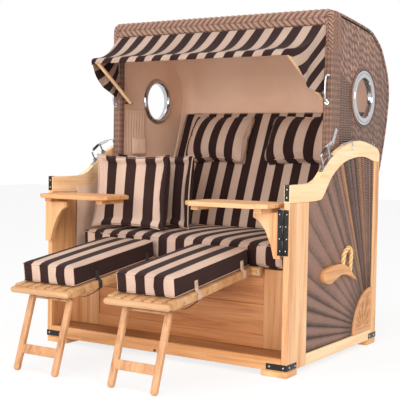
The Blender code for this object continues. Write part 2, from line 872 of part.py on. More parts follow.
def build_backrest(hood):
    along = Vector((0, sin(recline), cos(recline)))
    back = Vector((0, cos(recline), -sin(recline)))

    def face_point(height):
        return Vector((0, back_foot_y, back_cushion_foot)) + along * ((height - back_cushion_foot) / cos(recline))

    length = (back_cushion_top - back_cushion_foot) / cos(recline)
    middle = (face_point(back_cushion_foot) + face_point(back_cushion_top)) / 2 + back * back_cushion_thickness / 2
    size = (2 * backrest_half_width, length, back_cushion_thickness)
    form = crowned(back_crown_share * back_cushion_thickness, back_draw_share * back_cushion_thickness)
    rim = [share * back_cushion_thickness for share in back_rim_shares]
    turn = (pi / 2 - recline, 0, 0)
    cage("back_cushion", size, (7, 6, 2), rim, form, stripe, hood, middle, turn)

    board_length = (back_board_top - back_cushion_foot) / cos(recline)
    board_low, board_high = face_point(back_cushion_foot), face_point(back_board_top)
    board_middle = (board_low + board_high) / 2 + back * (back_cushion_thickness + gap + back_board_thickness / 2)
    half = Vector((backrest_half_width, board_length / 2, back_board_thickness / 2))
    board = box("backrest_board", -half, half, wood, None)
    board.location = board_middle
    board.rotation_euler = turn
    bpy.context.view_layer.update()
    board.parent = hood
    board.matrix_parent_inverse = hood.matrix_world.inverted()

    size = (head_pillow_width, head_pillow_height, head_pillow_thickness)
    rim = [share * length for share, length in zip(head_pillow_rim_shares, size)]
    form = pillow(head_pillow_edge_share, head_pillow_draw_share)
    for side, sign in sides():
        place = face_point(head_pillow_middle) - back * head_pillow_thickness * head_pillow_standoff_share
        place.x = sign * head_pillow_spread
        cage(f"head_pillow_{side}", size, (6, 5, 2), rim, form, stripe, hood, place, turn)


def build_awning(hood, awning):
    left_start, right_start = (Vector((sign * awning_pivot_half_width, *awning_pivot)) for _, sign in sides())
    left_tip, right_tip = (Vector((sign * awning_tip_half_width, *awning_tip)) for _, sign in sides())
    arms = [left_start, left_tip, right_tip, right_start]
    bow = tube("awning_bow", arms, awning_bar_radius, wood, awning)
    pins = []
    reach = awning_arm_ease - gap
    for side, sign in sides():
        start = awning_pivot_half_width * sign - (reach if sign < 0 else 0)
        pins.append(
            rod(
                f"awning_pin_{side}",
                (start, *awning_pivot),
                awning_bar_radius * awning_pin_share,
                reach,
                "x",
                chrome,
                awning,
                cutters,
                12,
            )
        )
    combine(bow, pins)
    build_awning_cloth(hood)


def build_awning_cloth(hood):
    """A sagging roof cloth with a small valance in front and a hanging wing at each end."""
    rows, columns, wing = 10, 10, 4
    bar_y, bar_z = awning_tip
    lift = awning_bar_radius + awning_cloth_clearance + awning_cloth_thickness
    top_y = band_front - gap - awning_cloth_thickness
    across = columns + 2 * wing

    def roof(t):
        """The middle line from the bar, t = 0, to the border, t = 1."""
        y = bar_y + (top_y - bar_y) * t
        z = bar_z + lift + (awning_cloth_top - bar_z - lift) * t - awning_sag * sin(pi * t)
        return y, z

    mesh = bpy.data.meshes.new("awning_cloth")
    shape = bmesh.new()
    bmesh.ops.create_grid(shape, x_segments=across, y_segments=rows + 1, size=1)
    for vert in shape.verts:
        column = round((vert.co.x + 1) / 2 * across)
        row = round((vert.co.y + 1) / 2 * (rows + 1)) - 1
        t = max(row, 0) / rows
        y, z = roof(t)
        half = awning_cloth_bar_half_width + (awning_cloth_top_half_width - awning_cloth_bar_half_width) * t
        over = column - wing
        inside = min(max(over, 0), columns)
        x = half * (2 * inside / columns - 1)
        down = max(-over, over - columns, 0) / wing
        drop = awning_valance + (awning_wing_drop - awning_valance) * t
        wave = awning_wing_wave * sin(2 * pi * t) * down
        x += wave if x > 0 else -wave
        z -= drop * down
        if row < 0:
            y = bar_y - lift
            z = bar_z + lift - awning_valance
        vert.co = (x, y, z)
    shape.to_mesh(mesh)
    shape.free()
    mesh.shade_smooth()
    thing = bpy.data.objects.new("awning_cloth", mesh)
    made = thing.modifiers.new("Cloth", "SOLIDIFY")
    made.thickness = awning_cloth_thickness
    made.offset = 0
    add(thing, stripe, hood)


def build_table(root, side, axis_x, turned):
    """A table on a vertical hinge, modelled to the hinge's left and then swung to where it stands."""
    post_leaf_side = axis_x + hinge_leaf_width
    leaf_front = -gap - hinge_leaf_thickness
    leaf = box(
        f"table_hinge_{side}",
        (axis_x, leaf_front, hinge_foot),
        (post_leaf_side, -gap, hinge_foot + hinge_height),
        chrome,
        root,
        edge=0,
    )
    third = hinge_height / 3
    outer_knuckles = [
        rod(
            f"table_knuckle_{side}_{i}",
            (axis_x, -hinge_standoff, hinge_foot + i * third),
            knuckle_radius,
            third - gap,
            "z",
            chrome,
            root,
            cutters,
            12,
        )
        for i in (0, 2)
    ]
    notch = box(
        f"table_hinge_notch_{side}",
        (axis_x - overrun, -overrun, hinge_foot + third - gap),
        (axis_x + knuckle_radius + lap, overrun, hinge_foot + 2 * third),
        chrome,
        root,
        edge=0,
        group=cutters,
    )
    combine(leaf, [notch], "DIFFERENCE")
    combine(leaf, outer_knuckles)

    hinge = pivot(f"table_axis_{side}", (axis_x, -hinge_standoff, tabletop_height), root)
    edge_x = axis_x - bracket_offset
    height = batten_low - gap - bracket_foot
    outline = [
        (edge_x - u * bracket_length, bracket_foot + v * height) for u, v in bracket_shares
    ]
    bracket = plate(f"table_bracket_{side}", [outline], 0, bracket_thickness, "y", wood, hinge)
    moving_leaf = box(
        f"table_moving_leaf_{side}",
        (axis_x - hinge_leaf_width, leaf_front, hinge_foot),
        (axis_x - knuckle_radius - lap, lap, hinge_foot + hinge_height),
        chrome,
        hinge,
        edge=0,
        group=cutters,
    )
    tongue = box(
        f"table_hinge_tongue_{side}",
        (axis_x - knuckle_radius - 2 * lap, leaf_front, hinge_foot + third),
        (axis_x, -gap, hinge_foot + 2 * third - gap),
        chrome,
        hinge,
        edge=0,
        group=cutters,
    )
    knuckle = rod(
        f"table_moving_knuckle_{side}",
        (axis_x, -hinge_standoff, hinge_foot + third),
        knuckle_radius,
        third - gap,
        "z",
        chrome,
        hinge,
        cutters,
        12,
    )
    combine(bracket, [moving_leaf, tongue, knuckle])

    near_x = axis_x - tabletop_offset
    far_x = near_x - tabletop_length
    half = tabletop_width / 2
    cut_off = tabletop_corner
    outline = [
        (near_x - cut_off, -half), (near_x, cut_off - half), (near_x, half - cut_off), (near_x - cut_off, half),
        (far_x + cut_off, half), (far_x, half - cut_off), (far_x, cut_off - half), (far_x + cut_off, -half),
    ]
    top = plate(f"tabletop_{side}", [outline], tabletop_low, tabletop_height, "z", wood, hinge, wood_edge)
    battens = []
    for i, batten_x in enumerate((near_x - batten_inset - batten_width, far_x + batten_inset)):
        battens.append(
            box(
                f"table_batten_{side}_{i}",
                (batten_x, cut_off - half, batten_low),
                (batten_x + batten_width, half - cut_off, tabletop_low + lap),
                wood,
                hinge,
                edge=0,
                group=cutters,
            )
        )
    combine(top, battens)
    if turned:
        hinge.rotation_euler.z = pi


def build_footrest(root, side, x):
    """A footrest modelled level from its rear bar, then lowered to its slope."""
    y0, z0 = footrest_pivot
    rest = pivot(f"footrest_axis_{side}", (x, y0, z0), root)
    half = footrest_width / 2
    high, low = z0 + footrest_rail_height / 2, z0 - footrest_rail_height / 2
    front = y0 - footrest_length
    frame = box(
        f"footrest_frame_{side}",
        (x - crossbar_length / 2, y0 - crossbar_depth / 2, low),
        (x + crossbar_length / 2, y0 + crossbar_depth / 2, high),
        wood,
        rest,
    )
    pieces = []
    for sign in (-1, 1):
        near, far = between(sign, half - footrest_rail_width, half)
        pieces.append(((x + near, front + front_rail_depth - lap, low), (x + far, y0, high)))
        hook_x = x + sign * (half - hook_width)
        pieces.append(
            (
                (hook_x - hook_width / 2, y0, z0 - hook_height),
                (hook_x + hook_width / 2, front_panel_setback - hook_clearance, z0),
            )
        )
    pieces.append(((x - half, front, low + fine_edge), (x + half, front + front_rail_depth, high)))
    free = 2 * (half - footrest_rail_width)
    space = (free - footrest_slats * slat_width) / (footrest_slats + 1)
    for i in range(footrest_slats):
        slat = x - free / 2 + space + i * (slat_width + space)
        pieces.append(((slat, front + front_rail_depth - lap, high - slat_thickness), (slat + slat_width, y0, high)))
    shapes = [
        box(f"footrest_piece_{side}_{i}", piece_low, piece_high, wood, rest, edge=0, group=cutters)
        for i, (piece_low, piece_high) in enumerate(pieces)
    ]
    combine(frame, shapes)

    size = (2 * foot_cushion_half_width, foot_cushion_length, foot_cushion_thickness)
    place = (x, y0 - foot_cushion_length / 2, high + gap + foot_cushion_thickness / 2)
    form = crowned(foot_crown_share * foot_cushion_thickness, foot_draw_share * foot_cushion_thickness, 4)
    rim = [foot_rim_share * foot_cushion_thickness] * 3
    cage(f"footrest_cushion_{side}", size, (5, 7, 3), rim, form, stripe, rest, place)
    build_legs(rest, side, x)
    rest.rotation_euler.x = footrest_slope


def build_legs(rest, side, x):
    y0, z0 = footrest_pivot
    hip_y, hip_z = y0 + leg_pivot[0], z0 + leg_pivot[1]
    legs_axis = pivot(f"leg_axis_{side}", (x, hip_y, hip_z), rest)
    drop = leg_pivot[0] * sin(footrest_slope) + leg_pivot[1] * cos(footrest_slope)
    hip_height = z0 + drop
    radius = leg_thickness / 2
    reach = (hip_height - radius - leg_ground_clearance) / cos(leg_forward)
    outline = [(hip_y + radius * cos(pi * i / 8), hip_z + radius * sin(pi * i / 8)) for i in range(9)]
    outline += [
        (hip_y - radius * cos(pi * i / 8), hip_z - reach - radius * sin(pi * i / 8)) for i in range(9)
    ]
    legs = [
        plate(
            f"footrest_legs_{side}" if sign < 0 else f"footrest_leg_{side}",
            [outline],
            x + sign * leg_spread - leg_width / 2,
            x + sign * leg_spread + leg_width / 2,
            "x",
            wood,
            legs_axis,
            group=parts if sign < 0 else cutters,
        )
        for sign in (-1, 1)
    ]
    rail_low_end = hip_z - reach - radius + leg_rail_low
    rail = box(
        f"footrest_leg_rail_{side}",
        (x - leg_spread, hip_y - leg_rail_thickness / 2, rail_low_end),
        (x + leg_spread, hip_y + leg_rail_thickness / 2, rail_low_end + leg_rail_height),
        wood,
        legs_axis,
        edge=0,
        group=cutters,
    )
    axle = rod(
        f"footrest_leg_axle_{side}",
        (x - leg_spread, hip_y, hip_z),
        radius / 2,
        2 * leg_spread,
        "x",
        wood,
        legs_axis,
        cutters,
        12,
    )
    combine(legs[0], [legs[1], rail, axle])
    legs_axis.rotation_euler.x = -leg_forward - footrest_slope


def build_latch(root, side, sign, rail_top):
    """A bail that stands on the rising part of the rail and swings on the line through its feet."""
    foot_y = latch_foot_share * base_depth
    foot_z = height_on(rail_top, foot_y)
    head_y = foot_y + latch_span * latch_slope_share
    slope = atan2(height_on(rail_top, head_y) - foot_z, head_y - foot_y)
    along = Vector((0, cos(slope), sin(slope)))
    up = Vector((0, -sin(slope), cos(slope)))
    middle_x = sign * (width / 2 - frame_thickness / 2)
    base = Vector((middle_x, foot_y, foot_z)) + up * (latch_radius + latch_lift)
    axis = pivot(f"latch_axis_{side}", base, root)
    bend = latch_height / 3
    run = [
        base,
        base + up * (latch_height - bend),
        base + up * (latch_height - bend / 3) + along * bend / 3,
        base + up * latch_height + along * bend,
        base + up * latch_height + along * (latch_span - bend),
        base + up * (latch_height - bend / 3) + along * (latch_span - bend / 3),
        base + up * (latch_height - bend) + along * latch_span,
        base + along * latch_span,
    ]
    tube(f"latch_bail_{side}", run, latch_radius, chrome, axis)


def centre_on_ground(root):
    """Moves the chair so that the bottom centre of its bounding box is the origin."""
    bpy.context.view_layer.update()
    view = bpy.context.evaluated_depsgraph_get()
    corners = []
    for thing in parts.objects:
        if thing.type == "MESH":
            shown = thing.evaluated_get(view)
            corners += [thing.matrix_world @ vert.co for vert in shown.to_mesh().vertices]
            shown.to_mesh_clear()
    low = [min(corner[axis] for corner in corners) for axis in range(3)]
    high = [max(corner[axis] for corner in corners) for axis in range(3)]
    root.location = (-(low[0] + high[0]) / 2, -(low[1] + high[1]) / 2, -low[2])
    bpy.context.view_layer.update()
    return root.location


def build_chair():
    root = pivot("beach_chair", (0, 0, 0), None)
    for side, sign in sides():
        rail_top = build_side_frame(root, side, sign)
        build_latch(root, side, sign, rail_top)
    build_base(root)
    build_seat_cushion(root)
    build_throw_pillows(root)
    hood = pivot("hood_axis", (0, *pivot_place), root)
    run = hood_outline()
    build_hood_shell(hood, run)
    build_hood_walls(hood, run)
    build_hood_band(hood)
    for side, sign in sides():
        build_window(hood, side, sign)
        build_hood_grip(hood, side, sign)
    build_backrest(hood)
    awning = pivot("awning_axis", (0, *awning_pivot), hood)
    build_awning(hood, awning)
    build_table(root, "right", frame_inside - hinge_inset, False)
    build_table(root, "left", -width / 2, True)
    for side, x in footrest_places.items():
        build_footrest(root, side, x)
    shift = centre_on_ground(root)
    print("The chair was moved by", [round(value, 6) for value in shift])


build_chair()
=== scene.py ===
# Looks for the two-seat hooded beach chair: timber side frames, a woven reclining hood, striped cushions.
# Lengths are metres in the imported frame: X to the sitter's left, Y to the back, Z up, ground at z = 0.
import math

import bmesh
import bpy
import numpy as np
from mathutils import Matrix, Vector


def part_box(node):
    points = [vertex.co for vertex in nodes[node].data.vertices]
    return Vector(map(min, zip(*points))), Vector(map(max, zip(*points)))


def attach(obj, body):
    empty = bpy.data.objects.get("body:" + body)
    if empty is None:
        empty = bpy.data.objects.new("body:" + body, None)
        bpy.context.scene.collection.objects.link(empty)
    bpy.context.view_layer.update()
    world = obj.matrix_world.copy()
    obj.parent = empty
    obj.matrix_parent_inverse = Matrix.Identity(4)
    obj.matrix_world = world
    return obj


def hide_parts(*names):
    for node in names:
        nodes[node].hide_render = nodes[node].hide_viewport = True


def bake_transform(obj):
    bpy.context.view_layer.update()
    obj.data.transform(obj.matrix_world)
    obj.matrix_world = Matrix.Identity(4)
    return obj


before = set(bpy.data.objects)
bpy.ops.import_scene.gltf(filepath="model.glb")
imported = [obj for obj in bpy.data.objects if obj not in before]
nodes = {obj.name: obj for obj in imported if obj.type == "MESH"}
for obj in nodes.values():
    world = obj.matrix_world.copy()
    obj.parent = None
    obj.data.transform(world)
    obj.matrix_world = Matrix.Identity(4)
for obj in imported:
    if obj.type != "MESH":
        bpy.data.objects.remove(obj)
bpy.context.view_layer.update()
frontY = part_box("front_post_right")[0].y  # front faces of the side frames; places below are measured from it
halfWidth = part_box("front_post_right")[1].x
baseDepth = 0.936  # from the side frames' front faces to their rear ones
pi = math.pi


def smoothRun(points, steps):
    # Catmull-Rom: each span is the cubic through its two ends, its slopes taken from the neighbours
    pts = np.asarray(points, float)
    ext = np.vstack([pts[:1], pts, pts[-1:]])
    p, q, r, s = (ext[i:len(ext) - 3 + i, None, :] for i in range(4))
    t = (np.arange(steps) / steps)[None, :, None]
    run = (2 * q + (r - p) * t + (2 * p - 5 * q + 4 * r - s) * t**2 + (3 * q - p - 3 * r + s) * t**3) / 2
    return np.vstack([run.reshape(-1, pts.shape[1]), pts[-1:]])


def arcLengths(run):
    # the distance along a run at each of its points
    return np.concatenate([[0], np.cumsum(np.linalg.norm(np.diff(run, axis=0), axis=1))])


def evenRun(run, count):
    # the same curve with its points at even arc lengths
    run = np.asarray(run, float)
    along = arcLengths(run)
    at = np.linspace(0, along[-1], count)
    return np.stack([np.interp(at, along, run[:, k]) for k in range(run.shape[1])], axis=1)


def unit(vectors):
    # each vector over its own length
    return vectors / np.maximum(np.linalg.norm(vectors, axis=-1, keepdims=True), 1e-12)


def meshFrom(name, grids, material, smooth=40, flip=False):
    # each grid is (points [rows, columns, 3], uv [rows, columns, 2]); grids and their seams merge where they meet
    verts, faces, uvs, base = [], [], [], 0
    for points, uv in grids:
        rows, cols = points.shape[:2]
        index = np.arange(rows * cols).reshape(rows, cols) + base
        quads = np.stack([index[:-1, :-1], index[1:, :-1], index[1:, 1:], index[:-1, 1:]], axis=-1).reshape(-1, 4)
        verts.append(points.reshape(-1, 3))
        uvs.append(uv.reshape(-1, 2))
        faces.append(quads)
        base += rows * cols
    verts, uvs, faces = np.vstack(verts), np.vstack(uvs), np.vstack(faces)
    if flip:
        faces = faces[:, ::-1]
    mesh = bpy.data.meshes.new(name)
    mesh.from_pydata(verts.tolist(), [], faces.tolist())
    layer = mesh.uv_layers.new(name="UVMap")
    layer.data.foreach_set("uv", uvs[faces.ravel()].astype(np.float32).ravel())
    return finishMesh(name, mesh, material, smooth)


def finishMesh(name, mesh, material, smooth=40):
    # seams merge, closed meshes face outwards, and edges sharper than an angle stay sharp
    shape = bmesh.new()
    shape.from_mesh(mesh)
    bmesh.ops.remove_doubles(shape, verts=shape.verts, dist=2e-6)
    bmesh.ops.dissolve_degenerate(shape, edges=shape.edges, dist=1e-7)
    closed = all(len(edge.link_faces) == 2 for edge in shape.edges)
    if closed:
        bmesh.ops.recalc_face_normals(shape, faces=shape.faces)
    shape.to_mesh(mesh)
    shape.free()
    mesh.shade_smooth()
    mesh.set_sharp_from_angle(angle=math.radians(smooth))
    piece = bpy.data.objects.new(name, mesh)
    bpy.context.scene.collection.objects.link(piece)
    if material:
        mesh.materials.append(material)
    return piece


def evenUv(points):
    # metres along and across a grid, from its mean row and column lengths
    down = np.concatenate([[0], np.cumsum(np.linalg.norm(np.diff(points, axis=0), axis=2).mean(axis=1))])
    across = np.concatenate([[0], np.cumsum(np.linalg.norm(np.diff(points, axis=1), axis=2).mean(axis=0))])
    return np.stack(np.meshgrid(across, down), axis=-1)


def sweep(name, path, section, material, ref=(1, 0, 0), smooth=40, closedPath=False):
    # the section's points stand at each path point on the axes side = tangent x ref and up = side x tangent
    path = np.asarray(path, float)
    tangent = unit(np.roll(path, -1, 0) - np.roll(path, 1, 0)) if closedPath else unit(np.gradient(path, axis=0))
    side = unit(np.cross(tangent, np.asarray(ref, float)))
    up = np.cross(side, tangent)
    section = np.asarray(section, float)
    if section.ndim == 2:
        section = np.repeat(section[None], len(path), axis=0)
    points = path[:, None] + section[..., :1] * side[:, None] + section[..., 1:2] * up[:, None]
    if closedPath:
        points = np.concatenate([points, points[:1]])
    else:
        ends = [np.repeat(points[i].mean(axis=0)[None], points.shape[1], axis=0)[None] for i in (0, -1)]
        points = np.concatenate([ends[0], points, ends[1]])
    points = np.concatenate([points, points[:, :1]], axis=1)
    return meshFrom(name, [(points, evenUv(points))], material, smooth)


def ring(radius, count):
    # points on a circle, radius times cosine and sine
    angle = 2 * pi * np.arange(count) / count
    return np.stack([radius * np.cos(angle), radius * np.sin(angle)], axis=1)


def roundedRect(width, height, radius):
    # four quarter circles, one at each corner
    corner = np.linspace(0, pi / 2, 4)
    runs = []
    for k, (sx, sy) in enumerate(((1, 1), (-1, 1), (-1, -1), (1, -1))):
        a = corner + k * pi / 2
        runs.append(np.stack([sx * (width / 2 - radius) + radius * np.cos(a), sy * (height / 2 - radius)
            + radius * np.sin(a)], axis=1))
    return np.vstack(runs)


def bar(name, path, radius, material, ref=(1, 0, 0), count=16):
    # a round bar whose ends are rounded off by a small dome
    path = evenRun(path, max(len(path), 4)) if len(path) < 4 else np.asarray(path, float)
    lead, trail = unit(path[0] - path[1]), unit(path[-1] - path[-2])
    dome = np.sin(np.linspace(0, pi / 2, 4))[:-1]
    fall = np.sqrt(1 - dome**2)
    first = path[0] + lead * (radius * 0.5) * fall[:, None]
    last = (path[-1] + trail * (radius * 0.5) * fall[:, None])[::-1]
    scale = np.concatenate([dome, np.ones(len(path)), dome[::-1]])
    full = np.vstack([first, path, last])
    return sweep(name, full, ring(radius, count)[None] * np.maximum(scale, 0.02)[:, None, None], material, ref)


def plank(name, low, high, grain, material, edge=0.002):
    # a board: a rounded rectangle carried along the grain, drawn in by a quarter round at both ends
    low, high = np.asarray(low, float), np.asarray(high, float)
    axis = "xyz".index(grain)
    others = [k for k in range(3) if k != axis]
    size = high - low
    turn = np.linspace(0, pi / 2, 4)
    inset = edge * (1 - np.sin(turn))
    step = edge * (1 - np.cos(turn))
    at = np.concatenate([low[axis] + step, (high[axis] - step)[::-1]])
    insets = np.concatenate([inset, inset[::-1]])
    base = roundedRect(size[others[0]], size[others[1]], edge)
    middle = (low + high) / 2
    points = np.zeros((len(at) + 2, len(base), 3))
    for row, (place, draw) in enumerate(zip(np.concatenate([at[:1], at, at[-1:]]),
                np.concatenate([insets[:1], insets, insets[-1:]]))):
        share = 0 if row in (0, len(at) + 1) else 1
        reach = np.array([1 - 2 * draw / size[others[0]], 1 - 2 * draw / size[others[1]]])
        points[row][:, others] = middle[others] + base * reach * share
        points[row][:, axis] = place
    points = np.concatenate([points, points[:, :1]], axis=1)
    return meshFrom(name, [(points, evenUv(points))], material, 35)


def lathe(name, profile, centre, material, axis="x", steps=64, smooth=40):
    # the profile's (radius, place) points carried round an axis through the centre
    profile = np.asarray(profile, float)
    angle = np.linspace(0, 2 * pi, steps + 1)
    radius, place = profile[:, 0][:, None], profile[:, 1][:, None] * np.ones((1, steps + 1))
    round1, round2 = radius * np.cos(angle), radius * np.sin(angle)
    order = {"x": (place, round1, round2), "y": (round2, place, round1), "z": (round1, round2, place)}[axis]
    points = np.stack(order, axis=-1) + np.asarray(centre, float)
    return meshFrom(name, [(points, evenUv(points))], material, smooth)


def joined(name, pieces):
    # several parts of one piece made one mesh
    if len(pieces) > 1:
        bpy.ops.object.select_all(action="DESELECT")
        for piece in pieces:
            piece.select_set(True)
        bpy.context.view_layer.objects.active = pieces[0]
        bpy.ops.object.join()
    pieces[0].name = name
    pieces[0].data.name = name
    return pieces[0]


def refine(piece, modifier, **settings):
    # a modifier with its settings
    made = piece.modifiers.new(modifier.title(), modifier)
    for key, value in settings.items():
        setattr(made, key, value)
    return piece


def applyModifiers(piece):
    # the evaluated mesh takes the place of the plain one
    bpy.context.view_layer.update()
    view = bpy.context.evaluated_depsgraph_get()
    mesh = bpy.data.meshes.new_from_object(piece.evaluated_get(view), preserve_all_data_layers=True, depsgraph=view)
    piece.modifiers.clear()
    piece.data = mesh
    return piece


def toLinear(hexColour):
    # the sRGB curve undone for each channel
    channel = np.array([int(hexColour[i:i + 2], 16) for i in (1, 3, 5)]) / 255
    linear = np.where(channel <= 0.04045, channel / 12.92, ((channel + 0.055) / 1.055) ** 2.4)
    return (*linear, 1)


def addNode(tree, kind, inputs=None, stops=None, **settings):
    # a node with its settings; each input is a number, a hex colour, a socket or a node whose first live output feeds
    # it
    made = tree.nodes.new("ShaderNode" + kind)
    for key, value in settings.items():
        setattr(made, key, value)
    for key, value in (inputs or {}).items():
        if isinstance(value, bpy.types.Node):
            value = next(output for output in value.outputs if output.enabled)
        if isinstance(value, bpy.types.NodeSocket):
            tree.links.new(value, made.inputs[key])
        else:
            made.inputs[key].default_value = toLinear(value) if isinstance(value, str) else value
    for place, colour in stops or ():
        ends = made.color_ramp.elements
        stop = ends[0] if place == stops[0][0] else ends[-1] if place == stops[-1][0] else ends.new(place)
        stop.position, stop.color = place, toLinear(colour)
    return made


def newMaterial(name, **shader):
    # a material with its principled shader's plain values set
    made = bpy.data.materials.new(name)
    made.use_nodes = True
    tree = made.node_tree
    principled = tree.nodes["Principled BSDF"]
    for key, value in shader.items():
        principled.inputs[key.replace("_", " ")].default_value = toLinear(value) if isinstance(value, str) else value
    return made, tree, principled


def dress(tree, principled, colour=None, height=None, depth=0.001, strength=0.5, roughness=None):
    # joins a pattern's colour, height and roughness to the shader
    if colour is not None:
        tree.links.new(next(o for o in colour.outputs if o.enabled), principled.inputs["Base Color"])
    if height is not None:
        bump = addNode(tree, "Bump", {"Height": height, "Distance": depth, "Strength": strength})
        tree.links.new(bump.outputs[0], principled.inputs["Normal"])
    if roughness is not None:
        tree.links.new(roughness.outputs[0], principled.inputs["Roughness"])


def timber(name, grain, seed, tint, deep, pale):
    # Acacia, planed and oiled: gold-brown with darker growth streaks along the board, here and there a small
    # knot, and a soft sheen from the oil. Streaks some 40 mm apart, pores drawn 2.4 mm apart so that they show.
    made, tree, principled = newMaterial(name, Roughness=0.5, IOR=1.5, Coat_Weight=0.1, Coat_Roughness=0.35)
    place = addNode(tree, "TexCoord").outputs["Object"]
    long = "xyz".index(grain)
    streakScale, poreScale, ringScale, knotScale = [26.0] * 3, [420.0] * 3, [70.0] * 3, [6.5] * 3
    streakScale[long], poreScale[long], ringScale[long], knotScale[long] = 1.6, 9.0, 2.2, 3.0
    streakAt = addNode(tree, "Mapping", {"Vector": place, "Scale": streakScale, "Location": (seed * 3.1, seed * 1.7,
            seed * 2.3)})
    streaks = addNode(tree, "TexNoise", {"Vector": streakAt, "Scale": 1.0, "Detail": 5.0, "Roughness": 0.6,
            "Distortion": 0.5})
    poreAt = addNode(tree, "Mapping", {"Vector": place, "Scale": poreScale})
    pores = addNode(tree, "TexNoise", {"Vector": poreAt, "Scale": 1.0, "Detail": 3.0, "Roughness": 0.55})
    ringAt = addNode(tree, "Mapping", {"Vector": place, "Scale": ringScale, "Location": (seed, seed * 0.6, 0)})
    rings = addNode(tree, "TexNoise", {"Vector": ringAt, "Scale": 1.0, "Detail": 2.0, "Distortion": 1.4})
    knotAt = addNode(tree, "Mapping", {"Vector": place, "Scale": knotScale, "Location": (seed * 1.3, seed * 0.7,
            seed)})
    knots = addNode(tree, "TexVoronoi", {"Vector": knotAt, "Scale": 1.0})
    base = addNode(tree, "ValToRGB", {0: streaks}, [(0.30, deep), (0.47, tint), (0.70, pale)])
    ringShare = addNode(tree, "MapRange", {"Value": rings, "From Min": 0.56, "From Max": 0.64, "To Max": 0.35})
    ringed = addNode(tree, "Mix", {0: ringShare, 6: base, 7: deep}, data_type="RGBA")
    poreShare = addNode(tree, "MapRange", {"Value": pores, "From Min": 0.60, "From Max": 0.72, "To Max": 0.28})
    porous = addNode(tree, "Mix", {0: poreShare, 6: ringed, 7: "#a8683a"}, data_type="RGBA")
    knotShare = addNode(tree, "MapRange", {"Value": knots, "From Min": 0.045, "From Max": 0.02, "To Max": 0.75})
    knotted = addNode(tree, "Mix", {0: knotShare, 6: porous, 7: "#7a4522"}, data_type="RGBA")
    # painted shade: where a mesh marks its carved hollows, the wood darkens towards deep brown
    grooveShade = addNode(tree, "Attribute", attribute_name="grooveShade").outputs["Fac"]
    carved = addNode(tree, "Mix", {0: grooveShade, 6: knotted, 7: "#7d4820"}, data_type="RGBA")
    grainHeight = addNode(tree, "Math", {0: streaks, 1: 0.5, 2: 0.0}, operation="MULTIPLY_ADD")
    height = addNode(tree, "Math", {0: grainHeight, 1: pores}, operation="SUBTRACT")
    dress(tree, principled, carved, height, 0.0006, 0.35)
    return made


def twillWicker(name, source, light):
    # Polyrattan, woven by machine: bundles 18 mm wide that surface for 30 mm and dive under the next, at
    # another height in each column and leaning, so it reads as broken slanting dashes with dark gaps.
    made, tree, principled = newMaterial(name, Roughness=0.5, IOR=1.5)
    coordinate = addNode(tree, "TexCoord")
    place = addNode(tree, "SeparateXYZ", {0: coordinate.outputs[source]})
    u, v = (place.outputs[1], place.outputs[2]) if source == "Object" else (place.outputs[0], place.outputs[1])
    wobble = addNode(tree, "TexNoise", {"Vector": coordinate.outputs[source], "Scale": 22.0, "Detail": 2.0})
    column = addNode(tree, "Math", {0: u, 1: 1 / 0.018, 2: wobble}, operation="MULTIPLY_ADD")
    number = addNode(tree, "Math", {0: column}, operation="FLOOR")
    share = addNode(tree, "Math", {0: column}, operation="FRACT")
    across = addNode(tree, "Math", {0: addNode(tree, "Math", {0: share, 1: pi}, operation="MULTIPLY")},
        operation="SINE")
    lean = addNode(tree, "Math", {0: share, 1: 0.45}, operation="MULTIPLY")
    start = addNode(tree, "TexWhiteNoise", {"W": number}, noise_dimensions="1D")
    stepped = addNode(tree, "Math", {0: start.outputs["Value"], 1: lean})
    along = addNode(tree, "Math", {0: v, 1: 1 / 0.034, 2: stepped}, operation="MULTIPLY_ADD")
    rise = addNode(tree, "Math",
        {0: addNode(tree, "Math", {0: addNode(tree, "Math", {0: along}, operation="FRACT"), 1: pi},
            operation="MULTIPLY")}, operation="SINE")
    body = addNode(tree, "Math", {0: addNode(tree, "Math", {0: across, 1: rise}, operation="MULTIPLY"), 1: 0.7},
        operation="POWER")
    strands = addNode(tree, "TexWave", {"Vector": coordinate.outputs[source], "Scale": 0.314 / 0.0045,
            "Distortion": 0.6, "Detail": 1.0}, bands_direction="Y" if source == "Object" else "X")
    cell = addNode(tree, "CombineXYZ", {0: number, 1: addNode(tree, "Math", {0: along}, operation="FLOOR")})
    chance = addNode(tree, "TexWhiteNoise", {"Vector": cell}, noise_dimensions="2D")
    speck = addNode(tree, "TexNoise", {"Vector": coordinate.outputs[source], "Scale": 160.0, "Detail": 3.0})
    mixed = addNode(tree, "Math", {0: chance.outputs["Value"], 1: 0.22, 2: addNode(tree, "Math", {0: speck, 1: 0.25},
            operation="MULTIPLY")}, operation="MULTIPLY_ADD")
    lit = addNode(tree, "Math", {0: strands.outputs["Fac"], 1: 0.12, 2: mixed}, operation="MULTIPLY_ADD")
    tone = addNode(tree, "Math", {0: body, 1: 0.62, 2: lit}, operation="MULTIPLY_ADD")
    colour = addNode(tree, "ValToRGB", {0: tone}, [(0.26, "#2b1c16"), (0.54, "#7a5848"), (0.94, light)])
    height = addNode(tree, "Math", {0: strands.outputs["Fac"], 1: 0.2, 2: body}, operation="MULTIPLY_ADD")
    return made, tree, principled, place, coordinate, colour, height


